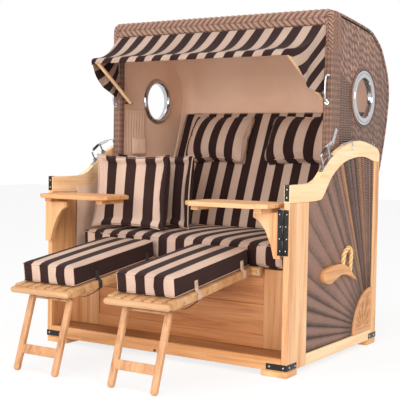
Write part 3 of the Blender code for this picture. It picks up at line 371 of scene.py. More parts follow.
def wallWeave(name):
    # the hood's walls: the twill, and in front of the window a tighter ribbed weave below a stepped edge; painted
    # shade darkens them towards the lower rear
    made, tree, principled, place, coordinate, colour, height = twillWicker(name, "Object", "#b98f7c")
    ribs = addNode(tree, "TexWave", {"Vector": coordinate.outputs["Object"], "Scale": 0.314 / 0.011,
            "Distortion": 0.8, "Detail": 1.0}, bands_direction="Z")
    stakes = addNode(tree, "TexWave", {"Vector": coordinate.outputs["Object"], "Scale": 0.314 / 0.030,
            "Distortion": 0.4}, bands_direction="Y")
    speck = addNode(tree, "TexNoise", {"Vector": coordinate.outputs["Object"], "Scale": 190.0, "Detail": 3.0})
    ribbed = addNode(tree, "Math",
        {0: ribs.outputs["Fac"], 1: 0.5, 2: addNode(tree, "Math", {0: stakes.outputs["Fac"], 1: 0.25, 2: speck},
            operation="MULTIPLY_ADD")}, operation="MULTIPLY_ADD")
    tight = addNode(tree, "ValToRGB", {0: addNode(tree, "Math", {0: ribbed, 1: 0.62}, operation="MULTIPLY")},
        [(0.3, "#402d25"), (0.6, "#755647"), (0.95, "#9c7a67")])
    edge = addNode(tree, "Math", {0: place.outputs[1], 1: 0.55, 2: place.outputs[2]}, operation="MULTIPLY_ADD")
    below = addNode(tree, "MapRange", {"Value": edge, "From Min": 1.447, "From Max": 1.443})
    ahead = addNode(tree, "MapRange", {"Value": place.outputs[1], "From Min": 0.397, "From Max": 0.389})
    zone = addNode(tree, "Math", {0: below, 1: ahead}, operation="MULTIPLY")
    both = addNode(tree, "Mix", {0: zone, 6: colour, 7: tight}, data_type="RGBA")
    bothHeight = addNode(tree, "Mix", {0: zone, 2: height, 3: ribs.outputs["Fac"]})
    # painted shade: the wall darkens towards its lower rear, up to 45 % towards dark brown
    depth = addNode(tree, "Math", {0: place.outputs[1], 1: -1.0, 2: place.outputs[2]}, operation="MULTIPLY_ADD")
    lower = addNode(tree, "MapRange", {"Value": depth, "From Min": 0.86, "From Max": 0.42, "To Max": 0.45})
    shaded = addNode(tree, "Mix", {0: lower, 6: both, 7: "#4c3a31"}, data_type="RGBA")
    dress(tree, principled, shaded, bothHeight, 0.0035, 0.8)
    return made


def shellWeave(name):
    made, tree, principled, place, coordinate, colour, height = twillWicker(name, "UV", "#ab8473")
    dress(tree, principled, colour, height, 0.0035, 0.8)
    return made


def borderWicker(name):
    # Polyrattan, bound round a core: strands 5 mm wide, mid brown, with a dark line between them.
    made, tree, principled = newMaterial(name, Roughness=0.5, IOR=1.5)
    coordinate = addNode(tree, "TexCoord").outputs["UV"]
    wraps = addNode(tree, "TexWave", {"Vector": coordinate, "Scale": 0.314 / 0.010, "Distortion": 0.5},
        bands_direction="X")
    speck = addNode(tree, "TexNoise", {"Vector": coordinate, "Scale": 150.0, "Detail": 3.0})
    tone = addNode(tree, "Math", {0: wraps.outputs["Fac"], 1: 0.6, 2: addNode(tree, "Math", {0: speck, 1: 0.4},
            operation="MULTIPLY")}, operation="MULTIPLY_ADD")
    colour = addNode(tree, "ValToRGB", {0: tone}, [(0.2, "#33231c"), (0.55, "#705243"), (0.9, "#9a7866")])
    dress(tree, principled, colour, wraps.outputs["Fac"], 0.002, 0.7)
    return made


def plaited(name):
    # Polyrattan plait: strands of three thin cores side by side; the mesh carries the plait, the bump the cores; the
    # colour is painted shade too, darker where the plait dives and between the cores.
    made, tree, principled = newMaterial(name, Roughness=0.5, IOR=1.5)
    reliefShade = addNode(tree, "Attribute", attribute_name="reliefShade").outputs["Fac"]
    core = addNode(tree, "Attribute", attribute_name="core").outputs["Fac"]
    speck = addNode(tree, "TexNoise", {"Vector": addNode(tree, "TexCoord").outputs["Object"], "Scale": 110.0,
            "Detail": 3.0})
    turn = addNode(tree, "Math", {0: addNode(tree, "Math", {0: core, 1: pi}, operation="MULTIPLY")}, operation="SINE")
    cores = addNode(tree, "Math", {0: addNode(tree, "Math", {0: turn}, operation="ABSOLUTE"), 1: 0.6},
        operation="POWER")
    base = addNode(tree, "Math",
        {0: reliefShade, 1: 0.52, 2: addNode(tree, "Math", {0: cores, 1: 0.28}, operation="MULTIPLY")},
        operation="MULTIPLY_ADD")
    tone = addNode(tree, "Math", {0: speck, 1: 0.3, 2: base}, operation="MULTIPLY_ADD")
    colour = addNode(tree, "ValToRGB", {0: tone}, [(0.3, "#22150f"), (0.62, "#6d4e40"), (0.98, "#a98470")])
    dress(tree, principled, colour, cores, 0.0014, 0.7)
    return made


def fanWicker(name):
    # Polyrattan fan: strands laid in pairs 9 mm apart across pleats that spread from the corner; near the upright the
    # stakes show as grey and brown lines, and two broad ones are russet. The mesh carries the pleats;
    # their height also sets the colour, darker in the hollows and towards the corner: painted shade.
    made, tree, principled = newMaterial(name, Roughness=0.55, IOR=1.5)
    coordinate = addNode(tree, "TexCoord")
    place = addNode(tree, "SeparateXYZ", {0: coordinate.outputs["UV"]})
    reliefShade = addNode(tree, "Attribute", attribute_name="reliefShade").outputs["Fac"]
    russet = addNode(tree, "Attribute", attribute_name="russet").outputs["Fac"]
    strands = addNode(tree, "Math",
        {0: addNode(tree, "Math", {0: place.outputs[1], 1: pi / 0.009}, operation="MULTIPLY")}, operation="SINE")
    weave = addNode(tree, "Math", {0: addNode(tree, "Math", {0: strands}, operation="ABSOLUTE"), 1: 1.6},
        operation="POWER")
    stake = addNode(tree, "Math", {0: addNode(tree, "Math", {0: place.outputs[0], 1: 6.0}, operation="MULTIPLY")},
        operation="FLOOR")
    chance = addNode(tree, "TexWhiteNoise", {"W": stake}, noise_dimensions="1D").outputs["Value"]
    upright = addNode(tree, "MapRange", {"Value": place.outputs[0], "From Min": 8.0, "From Max": 12.0, "To Min": 0.05,
            "To Max": 0.34})
    lines = addNode(tree, "Math", {0: chance, 1: upright}, operation="MULTIPLY")
    speck = addNode(tree, "TexNoise", {"Vector": coordinate.outputs["Object"], "Scale": 150.0, "Detail": 4.0})
    cloud = addNode(tree, "TexNoise", {"Vector": coordinate.outputs["Object"], "Scale": 9.0, "Detail": 2.0})
    # painted shade: the pleats' height lightens their crowns and darkens their hollows
    first = addNode(tree, "Math",
        {0: reliefShade, 1: 0.56, 2: addNode(tree, "Math", {0: weave, 1: 0.26}, operation="MULTIPLY")},
        operation="MULTIPLY_ADD")
    second = addNode(tree, "Math", {0: speck, 1: 0.5, 2: addNode(tree, "Math", {0: cloud, 1: 0.16, 2: first},
            operation="MULTIPLY_ADD")}, operation="MULTIPLY_ADD")
    tone = addNode(tree, "Math", {0: second, 1: lines}, operation="SUBTRACT")
    brown = addNode(tree, "ValToRGB", {0: tone}, [(0.40, "#180e0a"), (0.72, "#4d362c"), (1.0, "#957060")])
    reddish = addNode(tree, "ValToRGB", {0: tone}, [(0.32, "#3c2113"), (0.62, "#875537"), (1.0, "#bb8759")])
    colour = addNode(tree, "Mix", {0: russet, 6: brown, 7: reddish}, data_type="RGBA")
    height = addNode(tree, "Math", {0: speck, 1: 0.6, 2: weave}, operation="MULTIPLY_ADD")
    dress(tree, principled, colour, height, 0.003, 0.8)
    return made


def canvasWeave(tree, spacing):
    # warp and weft as two wave textures, drawn coarser than the real 0.5 mm threads so that they show
    place = addNode(tree, "TexCoord").outputs["UV"]
    warp = addNode(tree, "TexWave", {"Vector": place, "Scale": 0.314 / spacing}, bands_direction="X")
    weft = addNode(tree, "TexWave", {"Vector": place, "Scale": 0.314 / spacing}, bands_direction="Y")
    return place, addNode(tree, "Math", {0: warp.outputs["Fac"], 1: weft.outputs["Fac"]})


clothPitch = 0.0875  # one dark and one sand stripe


def stripedCanvas(name, darkShare, dark="#3a2725", light="#d0b5a4", deep="#ba9d8d"):
    # Dralon canvas, woven in dark brown and sand stripes: dull, a little fuzzy at grazing angles.
    made, tree, principled = newMaterial(name, Roughness=0.92, IOR=1.4, Specular_IOR_Level=0.15, Sheen_Weight=0.04,
        Sheen_Roughness=0.5)
    place, weave = canvasWeave(tree, 0.0032)
    along = addNode(tree, "Math", {0: addNode(tree, "SeparateXYZ", {0: place}).outputs[0], 1: 1 / clothPitch, 2: 0.5},
        operation="MULTIPLY_ADD")
    away = addNode(tree, "Math",
        {0: addNode(tree, "Math", {0: addNode(tree, "Math", {0: along}, operation="FRACT"), 1: 0.5},
            operation="SUBTRACT")}, operation="ABSOLUTE")
    isDark = addNode(tree, "MapRange", {"Value": away, "From Min": darkShare / 2 + 0.006, "From Max": darkShare / 2
            - 0.006})
    slub = addNode(tree, "TexNoise", {"Vector": place, "Scale": 260.0, "Detail": 2.0})
    shade = addNode(tree, "TexNoise", {"Vector": addNode(tree, "TexCoord").outputs["Object"], "Scale": 6.0,
            "Detail": 2.0})
    tone = addNode(tree, "Math", {0: addNode(tree, "Math", {0: slub, 1: shade}), 1: 0.5}, operation="MULTIPLY")
    darkCloth = addNode(tree, "ValToRGB", {0: tone}, [(0.25, "#2b1c1a"), (0.75, dark)])
    lightCloth = addNode(tree, "ValToRGB", {0: tone}, [(0.25, deep), (0.7, light)])
    colour = addNode(tree, "Mix", {0: isDark, 6: lightCloth, 7: darkCloth}, data_type="RGBA")
    dress(tree, principled, colour, weave, 0.0004, 0.5)
    return made


def plainCanvas(name, light, deep):
    # Polyester lining cloth, plain woven and stretched on its panel: dull, with faint creases whose hollows are
    # painted a little darker, painted shade.
    made, tree, principled = newMaterial(name, Roughness=0.92, IOR=1.4, Specular_IOR_Level=0.2, Sheen_Weight=0.05,
        Sheen_Roughness=0.5)
    place, weave = canvasWeave(tree, 0.004)
    crease = addNode(tree, "TexNoise", {"Vector": addNode(tree, "TexCoord").outputs["Object"], "Scale": 3.2,
            "Detail": 3.0, "Distortion": 0.6})
    # painted shade: the crease hollows take the deeper colour
    colour = addNode(tree, "ValToRGB", {0: crease}, [(0.3, deep), (0.62, light)])
    height = addNode(tree, "Math",
        {0: crease, 1: 2.5, 2: addNode(tree, "Math", {0: weave, 1: 0.12}, operation="MULTIPLY")},
        operation="MULTIPLY_ADD")
    dress(tree, principled, colour, height, 0.0025, 0.4)
    return made


def wovenTape(name, light, deep):
    # Polypropylene webbing: a ribbed narrow weave, rather matt, ribs drawn 1.5 mm apart.
    made, tree, principled = newMaterial(name, Roughness=0.7, IOR=1.49)
    place, weave = canvasWeave(tree, 0.003)
    shade = addNode(tree, "TexNoise", {"Vector": addNode(tree, "TexCoord").outputs["Object"], "Scale": 40.0,
            "Detail": 2.0})
    dress(tree, principled, addNode(tree, "ValToRGB", {0: shade}, [(0.3, deep), (0.6, light)]), weave, 0.0005, 0.6)
    return made


def steel(name, light, deep, roughness, grit):
    # Stainless steel: polished parts mirror the room, pressed parts carry fine rolling marks and a dull film.
    made, tree, principled = newMaterial(name, Metallic=1.0, Roughness=roughness)
    marks = addNode(tree, "TexNoise", {"Vector": addNode(tree, "TexCoord").outputs["Object"], "Scale": grit,
            "Detail": 3.0})
    colour = addNode(tree, "ValToRGB", {0: marks}, [(0.3, deep), (0.65, light)])
    worn = addNode(tree, "MapRange", {"Value": marks, "To Min": roughness * 0.7, "To Max": roughness * 1.3})
    dress(tree, principled, colour, marks, 0.0001, 0.05, worn)
    return made


def castAcrylic(name):
    # Clear acrylic, cast: nearly invisible but for its reflections, a trace of haze.
    made, tree, principled = newMaterial(name, Base_Color="#ffffff", Roughness=0.0, IOR=1.1, Transmission_Weight=1.0)
    haze = addNode(tree, "TexNoise", {"Vector": addNode(tree, "TexCoord").outputs["Object"], "Scale": 14.0})
    dress(tree, principled, roughness=addNode(tree, "MapRange", {"Value": haze, "To Max": 0.03}))
    return made


def twistedRope(name):
    # Manila rope, three strands laid up: straw yellow, rough with loose fibres; the colour darkens into the grooves
    # between the strands, painted shade.
    made, tree, principled = newMaterial(name, Roughness=0.85, IOR=1.45)
    reliefShade = addNode(tree, "Attribute", attribute_name="reliefShade").outputs["Fac"]
    fibre = addNode(tree, "TexNoise", {"Vector": addNode(tree, "TexCoord").outputs["Object"], "Scale": 700.0,
            "Detail": 4.0})
    tone = addNode(tree, "Math",
        {0: reliefShade, 1: 0.75, 2: addNode(tree, "Math", {0: fibre, 1: 0.3}, operation="MULTIPLY")},
        operation="MULTIPLY_ADD")
    dress(tree, principled, addNode(tree, "ValToRGB", {0: tone}, [(0.2, "#7d4c24"), (0.55, "#d19f63"),
            (0.95, "#efd09a")]), fibre, 0.0008, 0.5)
    return made


def mouldedNylon(name, light, deep):
    # Black nylon, moulded with a fine spark-eroded grain.
    made, tree, principled = newMaterial(name, Roughness=0.45, IOR=1.5)
    grain = addNode(tree, "TexNoise", {"Vector": addNode(tree, "TexCoord").outputs["Object"], "Scale": 800.0,
            "Detail": 2.0})
    dress(tree, principled, addNode(tree, "ValToRGB", {0: grain}, [(0.2, deep), (0.9, light)]), grain, 0.0003, 0.3)
    return made


timberX = timber("oiledAcaciaAcross", "x", 1.0, "#dca877", "#bf854f", "#e8bd91")
timberX2 = timber("oiledAcaciaAcrossWarm", "x", 4.0, "#cf935c", "#ad713f", "#dba673")
timberY = timber("oiledAcaciaDeep", "y", 2.0, "#dfa970", "#c3854b", "#ebbd8a")
timberZ = timber("oiledAcaciaUpright", "z", 3.0, "#e2b082", "#c18650", "#efc99c")
timberZ2 = timber("oiledAcaciaUprightWarm", "z", 6.0, "#dfa873", "#c0824b", "#ecbf8e")
railTimber = timber("oiledAcaciaRail", "y", 5.0, "#f5cfa2", "#e9b983", "#fbdfb8")
# painted shade: darker copies of the oiled acacia for the front panel's stiles and its set-back rails and boards
panelShadeTimber = timber("oiledAcaciaPanelShade", "z", 8.0, "#c48d5c", "#a26b3e", "#d5a172")
recessShadeTimber = timber("oiledAcaciaRecessShade", "x", 9.0, "#bb7a46", "#91592c", "#cb8d58")
# painted shade: a darker copy of the oiled acacia for the floor board, which lies in shade under the footrests
floorShadeTimber = timber("oiledAcaciaFloorShade", "x", 12.0, "#a06c42", "#7b4d2b", "#b17d51")
# painted shade: a darker copy of the oiled acacia for the footrest frames
footShadeTimber = timber("oiledAcaciaFootrestShade", "x", 10.0, "#b98b5e", "#9a6c41", "#caa076")
# painted shade: a darker copy of the oiled acacia for the footrest legs
legShadeTimber = timber("oiledAcaciaLegsShade", "z", 11.0, "#c08d62", "#a06c42", "#d0a176")
carvedTimber = timber("carvedAcacia", "y", 7.0, "#cf955f", "#b37843", "#dda973")
wallWicker = wallWeave("wovenPolyrattanWall")
shellWicker = shellWeave("wovenPolyrattanShell")
fineWicker = borderWicker("boundPolyrattan")
fanMaterial = fanWicker("fanWovenPolyrattan")
plait = plaited("plaitedPolyrattan")
cushionCanvas = stripedCanvas("stripedCanvas", 0.515)
awningCanvas = stripedCanvas("stripedAwningCanvas", 0.525, "#302020", "#b39b8d", "#a18a7c")
liningCanvas = plainCanvas("sandLining", "#f7d5bd", "#edc6ab")
liningInner = plainCanvas("sandLiningSide", "#f0d0b9", "#e6c1a7")
polished = steel("polishedStainless", "#c6c7ca", "#bbbcbf", 0.1, 60.0)
pressed = steel("pressedStainless", "#b9babd", "#9d9ea1", 0.26, 900.0)
darkSteel = steel("tarnishedSteel", "#4a4746", "#2f2c2b", 0.24, 900.0)
clearPane = castAcrylic("acrylicPane")
manila = twistedRope("manilaRope")
webbing = wovenTape("brownWebbing", "#33282a", "#1f1718")
sandWebbing = wovenTape("sandWebbing", "#c9ab97", "#a98a76")
blackNylon = mouldedNylon("blackNylon", "#3a3634", "#1c1a1a")
print("materials made")


view = {"place": (2.4284, -3.7226, 0.9362), "lens": 949.665 * 36 / 400, "yaw": 32.8189, "pitch": 3.0609,
    "roll": 0.8862}


def makeCamera():
    # axes from yaw, a small downward pitch and a trace of roll, solved from the photograph's corners
    yaw, pitch, roll = (math.radians(view[key]) for key in ("yaw", "pitch", "roll"))
    forward = np.array([-math.sin(yaw) * math.cos(pitch), math.cos(yaw) * math.cos(pitch), -math.sin(pitch)])
    right = np.array([math.cos(yaw), math.sin(yaw), 0])
    up = np.cross(right, forward)
    right, up = right * math.cos(roll) + up * math.sin(roll), up * math.cos(roll) - right * math.sin(roll)
    camera = bpy.data.objects.new("camera", bpy.data.cameras.new("camera"))
    bpy.context.scene.collection.objects.link(camera)
    camera.data.lens, camera.data.sensor_width = view["lens"], 36
    matrix = np.eye(4)
    matrix[:3, 0], matrix[:3, 1], matrix[:3, 2], matrix[:3, 3] = right, up, -forward, view["place"]
    camera.matrix_world = Matrix(matrix.tolist())
    camera.data.clip_start, camera.data.clip_end = 0.05, 100
    bpy.context.scene.camera = camera


def areaLight(name, place, target, size, power, colour="#ffffff"):
    lamp = bpy.data.objects.new(name, bpy.data.lights.new(name, "AREA"))
    bpy.context.scene.collection.objects.link(lamp)
    lamp.data.size, lamp.data.energy, lamp.data.color = size, power, toLinear(colour)[:3]
    lamp.location = place
    lamp.rotation_euler = (Vector(target) - Vector(place)).to_track_quat("-Z", "Y").to_euler()


def makeStudio():
    # a pale sweep of floor, soft lamps at the right and front, and a white room that glass and metal also see
    floor = meshFrom("studioFloor",
        [(np.stack([*np.meshgrid(np.linspace(-14, 14, 3), np.linspace(-14, 14, 3)), np.zeros((3, 3))], axis=-1),
            np.zeros((3, 3, 2)))], None, flip=True)
    pale, tree, principled = newMaterial("paleFloor", Base_Color="#ffffff", Roughness=1.0)
    lightPath = addNode(tree, "LightPath").outputs
    glow = addNode(tree, "Emission", {"Strength": 1.0, "Color": "#ffffff"})
    direct = addNode(tree, "Math", {0: lightPath["Is Camera Ray"], 1: 0.8}, operation="MULTIPLY")
    bounced = addNode(tree, "Math", {0: lightPath["Is Glossy Ray"], 1: lightPath["Is Transmission Ray"]},
        operation="MAXIMUM")
    seen = addNode(tree, "Math", {0: direct, 1: bounced}, operation="MAXIMUM")
    mixed = addNode(tree, "MixShader", {0: seen, 1: principled, 2: glow})
    tree.links.new(mixed.outputs[0], tree.nodes["Material Output"].inputs[0])
    floor.data.materials.append(pale)
    world = bpy.data.worlds.new("whiteRoom")
    world.use_nodes = True
    tree = world.node_tree
    background = tree.nodes["Background"]
    background.inputs["Color"].default_value = (1, 1, 1, 1)
    lightPath = addNode(tree, "LightPath").outputs
    bounced = addNode(tree, "Math", {0: lightPath["Is Glossy Ray"], 1: lightPath["Is Transmission Ray"]},
        operation="MAXIMUM")
    seen = addNode(tree, "Math", {0: lightPath["Is Camera Ray"], 1: bounced}, operation="MAXIMUM")
    strength = addNode(tree, "MapRange", {"Value": seen, "To Min": 0.66, "To Max": 1.0})
    tree.links.new(strength.outputs[0], background.inputs["Strength"])
    bpy.context.scene.world = world
    areaLight("keyLamp", (5.2, -2.6, 3.6), (0.2, 0, 0.8), 2.6, 150, "#fff6ee")
    areaLight("frontLamp", (2.2, -8.6, 2.7), (0, 0, 0.9), 4.6, 425, "#fffaf6")
    areaLight("hoodLamp", (-0.9, -2.8, 1.25), (0.1, 0.6, 1.2), 0.8, 8)
    areaLight("topLamp", (-1.0, -1.5, 4.6), (0, 0, 0.8), 3.0, 60, "#ffffff")
    bpy.context.scene.view_settings.view_transform = "Standard"


makeCamera()
makeStudio()
print("camera and studio made")


def finishTimber():
    # every board takes the grain direction of its own length; bolts, hinges and walls take their own materials
    grains = {
        timberZ: ["front_post_right", "rear_post_left", "table_bracket_right", "footrest_legs_left",
            "footrest_legs_right"],
        timberZ2: ["front_post_left", "rear_post_right", "table_bracket_left"],
        railTimber: ["top_rail_left", "top_rail_right", "bottom_rail_left", "bottom_rail_right"],
        timberX: ["tabletop_right", "seat_board", "rear_panel"],
        # the floor board takes a darker copy of the wood: painted shade
        floorShadeTimber: ["floor_board"],
        timberX2: ["front_panel", "toe_board", "tabletop_left", "backrest_board"],
        timberY: ["footrest_frame_left", "footrest_frame_right", "seat_box_side_left", "seat_box_side_right",
                  "foot_front_left", "foot_front_right", "foot_rear_left", "foot_rear_right"],
        pressed: ["pivot_bolt_left", "pivot_bolt_right", "table_hinge_left", "table_hinge_right"],
        wallWicker: ["hood_side_left", "hood_side_right"],
    }
    for material, names in grains.items():
        for name in names:
            nodes[name].data.materials.clear()
            nodes[name].data.materials.append(material)


finishTimber()
print("timber finished")


fan = {"low": 0.0736, "railLow": 0.722, "railRise": 0.191, "front": 0.178, "rear": 0.88, "corner": (0.88, 0.073),
       "outer": 0.638, "pleat": 0.006, "russet": (11, 15),
       "widths": (5.0, 4.6, 5.6, 5.0, 5.8, 7.4, 6.2, 7.2, 6.4, 5.6, 5.2, 3.0, 4.6, 2.8, 2.8, 2.6, 2.6, 2.5, 2.5, 2.6),
       "strength": (1, 1, 1, 1, 0.85, 0.5, 0.45, 0.5, 0.5, 0.6, 0.7, 0.9, 0.7, 0.8, 0.8, 1, 0.8, 0.8, 0.8, 0.8)}
railUnderShares = [(0, 0), (0.15, 0.02), (0.2, 0.12), (0.32, 0.55), (0.49, 0.86), (0.67, 0.98), (0.8, 1),
    (0.89, 0.96), (1, 0.874)]
railTopShares = [(0, 0), (0.19, 0.01), (0.26, 0.07), (0.31, 0.2), (0.41, 0.55), (0.56, 0.86), (0.74, 1), (0.92, 0.88),
    (0.98, 0.79), (1, 0.68)]


def archHeight(y, shares, start, length, low, rise):
    # height of a smooth run over a place along the side; its shares are of a length and a rise
    run = smoothRun(np.array(shares) * (length, rise) + (start, low), 6)
    return np.interp(y, run[:, 0], run[:, 1])


def railUnder(y):
    # the arch's lower edge
    return archHeight(y, railUnderShares, fan["front"], fan["rear"] - fan["front"], fan["railLow"], fan["railRise"])


def railTop(y):
    # the arch's upper edge
    return archHeight(y, railTopShares, 0, baseDepth, 0.795, 0.192)


def setAttribute(piece, name, values):
    # the values follow the vertices that are left after the seams merged, found by their places
    layer = piece.data.attributes.new(name, "FLOAT", "POINT")
    layer.data.foreach_set("value", values.astype(np.float32))


def vertexPlaces(piece):
    # all vertices as rows of x, y, z
    flat = np.zeros(len(piece.data.vertices) * 3)
    piece.data.vertices.foreach_get("co", flat)
    return flat.reshape(-1, 3)


def declareSheet(piece):
    # the cut area is half of what the thin cloth shows on both its faces
    shape = bmesh.new()
    shape.from_mesh(piece.data)
    area = sum(face.calc_area() for face in shape.faces) / 2
    shape.free()


def pleats(y, z):
    # sector number with its share across, and the pleat's rounded height: sine of the share, square-rooted
    angle = np.degrees(np.arctan2(z - fan["corner"][1], fan["corner"][0] - y))
    widths, strength = np.array(fan["widths"]), np.array(fan["strength"])
    borders = np.concatenate([[0], np.cumsum(widths)])
    sector = np.clip(np.searchsorted(borders, np.clip(angle, 0, 89.99), side="right") - 1, 0, len(widths) - 1)
    share = np.clip((angle - borders[sector]) / widths[sector], 0, 1)
    radius = np.hypot(y - fan["corner"][0], z - fan["corner"][1])
    # the crown of each pleat lies towards its upper edge, so the light catches a thin ridge there
    crown = np.sqrt(np.abs(np.sin(pi * share**1.5)))
    lift = (1 - strength[sector] * (1 - crown)) * np.clip(radius / 0.35, 0.3, 1.0)
    return sector + share, radius, lift


def buildWovenSide(side, sign):
    # columns run along the side, rows from the bottom rail to the arch; the pleats push the face out
    y = np.linspace(fan["front"] + 0.0006, fan["rear"] - 0.0006, 190)
    v = np.linspace(0, 1, 200)[:, None]
    z = fan["low"] + v * (railUnder(y)[None] - 0.0006 - fan["low"])
    y = np.repeat(y[None], len(v), axis=0)
    sector, radius, lift = pleats(y, z)
    x = sign * (fan["outer"] - 0.004 + fan["pleat"] * lift)
    points = np.stack([x, y + frontY, z], axis=-1)
    piece = meshFrom(f"fanPanel_{side}", [(points, np.stack([sector, radius], axis=-1))], fanMaterial, 70,
        flip=sign < 0)
    at = vertexPlaces(piece)
    number, _, lift = pleats(at[:, 1] - frontY, at[:, 2])
    # the pleats' lift is kept for the fan's colour: painted shade in the hollows and towards the corner
    setAttribute(piece, "reliefShade", lift)
    setAttribute(piece, "russet", np.isin(np.floor(number), fan["russet"]) * 0.85)
    refine(piece, "SOLIDIFY", thickness=0.005, offset=-1)
    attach(piece, "base")
    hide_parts(f"woven_side_{side}")


sun = {"radius": 0.209, "petals": 7, "face": 0.65, "back": 0.6384, "heart": (0.104, 0.026)}


def buildSun(side, sign):
    # a quarter disc in polar rows; petals are carved as drops that narrow to a heart on its lower edge, inside a
    # scored border
    phi = np.linspace(0, pi / 2, 150)[None]
    r = np.concatenate([[0.0], np.linspace(0.004, 1, 90)])[:, None]
    rr = r * sun["radius"] + 0 * phi
    dy, dz = rr * np.cos(phi), rr * np.sin(phi)
    fromHeart = np.hypot(dy - sun["heart"][0], dz - sun["heart"][1])
    turnShare = (np.arctan2(dz - sun["heart"][1], dy - sun["heart"][0]) / pi * sun["petals"]) % 1
    share = np.abs(turnShare - 0.5) * 2
    gap = np.minimum(np.minimum(dy - 0.022, dz - 0.022), sun["radius"] - rr - 0.022)
    inRange = np.clip((fromHeart - 0.012) / 0.008, 0, 1) * np.clip((gap - 0.006) / 0.006, 0, 1)
    petal = np.clip((0.74 - share) / 0.2, 0, 1) * inRange
    border = np.exp(-(gap / 0.0028) ** 2)
    edge = 1 - np.clip((sun["radius"] - rr) / 0.004, 0, 1)
    depth = 0.0046 * petal * (0.5 + 0.5 * share) + 0.0026 * border + 0.003 * edge**2
    x = sign * (sun["face"] - depth)
    y0, z0 = fan["rear"] - 0.0006, fan["low"] + 0.0006
    front = np.stack([x + 0 * dy, y0 - dy + frontY, z0 + dz], axis=-1)
    back = front.copy()
    back[..., 0] = sign * sun["back"]
    wall = np.stack([front[-1], back[-1]])
    foot = np.stack([front[:, 0], back[:, 0]])
    post = np.stack([front[:, -1], back[:, -1]])
    grids = [(g, evenUv(g)) for g in (front, back, wall, foot, post)]
    piece = meshFrom(f"carvedSun_{side}", grids, carvedTimber, 50)
    # painted shade: the deeper the carving, the darker the wood
    depthOf = sun["face"] - np.abs(vertexPlaces(piece)[:, 0])
    setAttribute(piece, "grooveShade", np.clip(depthOf / 0.005, 0, 1) * 0.8 * (depthOf < 0.0085))
    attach(piece, "base")
    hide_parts(f"sun_ornament_{side}")


grip = {"place": (0.312, 0.34), "length": 0.358, "height": 0.088, "thickness": 0.026,
        "upper": [(0, 0.6), (0.02, 0.78), (0.07, 0.9), (0.25, 1.0), (0.475, 1.02), (0.60, 0.98), (0.70, 0.86),
            (0.82, 0.56), (0.92, 0.22), (1, 0)],
        "lower": [(0, 0.6), (0.012, 0.42), (0.05, 0.26), (0.2, 0.12), (0.36, 0.26), (0.52, 0.44), (0.68, 0.40),
            (0.84, 0.22), (0.94, 0.08), (1, 0)],
        "feet": ((0.62, 0.96), (0.83, 0.5)), "ropeRadius": 0.0108, "ropeRise": 0.086}


def buildGrip(side, sign):
    # a horn-shaped block: a squared oval section between its upper and lower outlines, with scored lines at the rope
    y0, z0 = grip["place"]
    size = np.array([grip["length"], grip["height"]])
    upper, lower = (evenRun(smoothRun(np.array(grip[key]) * size, 8), 70) for key in ("upper", "lower"))
    middle, half = (upper + lower) / 2, (upper - lower) / 2
    theta = np.linspace(0, 2 * pi, 49)[None, :, None]
    squared = lambda value: np.sign(value) * np.abs(value) ** 0.42
    flat = middle[:, None] + half[:, None] * squared(np.cos(theta))
    out = grip["thickness"] / 2 * squared(np.sin(theta[..., 0])) * np.ones((70, 1))
    score = sum(np.exp(-(((flat[..., 0] / size[0] - at) * 2.2 + (flat[..., 1] / size[1] - 0.62) * slope) / 0.03) ** 2)
                for at, slope in ((0.50, 0.5), (0.55, -0.4), (0.74, 0.5), (0.79, -0.5)))
    score = score * np.clip((flat[..., 1] / size[1] - 0.45) / 0.1, 0, 1)
    out = np.where(out > 0, out - 0.003 * np.clip(score, 0, 1), out)
    base = fan["outer"] + 0.0006 + grip["thickness"] / 2
    x = sign * (base + out)
    points = np.stack([x, y0 + flat[..., 0] + frontY, z0 + flat[..., 1]], axis=-1)
    piece = meshFrom(f"carvedGrip_{side}", [(points, evenUv(points))], carvedTimber, 50)
    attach(piece, "base")
    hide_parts(f"grip_block_{side}")

    (u0, v0), (u1, v1) = grip["feet"]
    start = np.array([y0 + u0 * size[0], z0 + v0 * size[1] - 0.016])
    end = np.array([y0 + u1 * size[0], z0 + v1 * size[1] - 0.008])
    bow = [(-0.02, 0.333), (0.15, 0.74), (0.74, 1), (1.12, 0.76), (1.04, 0.12)]
    run = [start, *[(start[0] + a * (end[0] - start[0]), start[1] + b * grip["ropeRise"]) for a, b in bow], end]
    run = evenRun(smoothRun(run, 8), 110)
    path = np.stack([np.full(len(run), sign * base), run[:, 0] + frontY, run[:, 1]], axis=1)
    along = arcLengths(path)[:, None]
    angle = 2 * pi * np.arange(30)[None] / 30
    lay = np.abs(np.cos(1.5 * (angle + 2 * pi * along / 0.075)))  # three strands that turn once every 75 mm
    radius = grip["ropeRadius"] * (0.72 + 0.28 * np.sqrt(lay))
    section = np.stack([radius * np.cos(angle), radius * np.sin(angle)], axis=-1)
    loop = sweep(f"ropeLoop_{side}", path, section, manila)
    # painted shade: the rope's colour darkens into the grooves between its strands
    places = vertexPlaces(loop)
    nearest = np.linalg.norm(places[:, None] - path[None], axis=2).min(axis=1)
    setAttribute(loop, "reliefShade", np.clip((nearest / grip["ropeRadius"] - 0.7) / 0.3, 0, 1))
    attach(loop, "base")
    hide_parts(f"rope_loop_{side}")


for side, sign in (("left", -1), ("right", 1)):
    buildWovenSide(side, sign)
    buildSun(side, sign)
    buildGrip(side, sign)
print("side panels, carved suns and rope grips made")


hood = {"clothFront": 0.4868, "front": 0.486, "depth": 0.641, "low": 0.62, "rise": 0.936, "wall": 0.012,
        "half": 0.609,
        "shares": [(0, 1), (0.26, 0.985), (0.6, 0.957), (0.72, 0.926), (0.83, 0.88), (0.9, 0.82), (0.96, 0.76),
                   (0.997, 0.684), (1, 0.608), (0.96, 0.47), (0.88, 0.3), (0.8, 0.17), (0.708, 0)]}


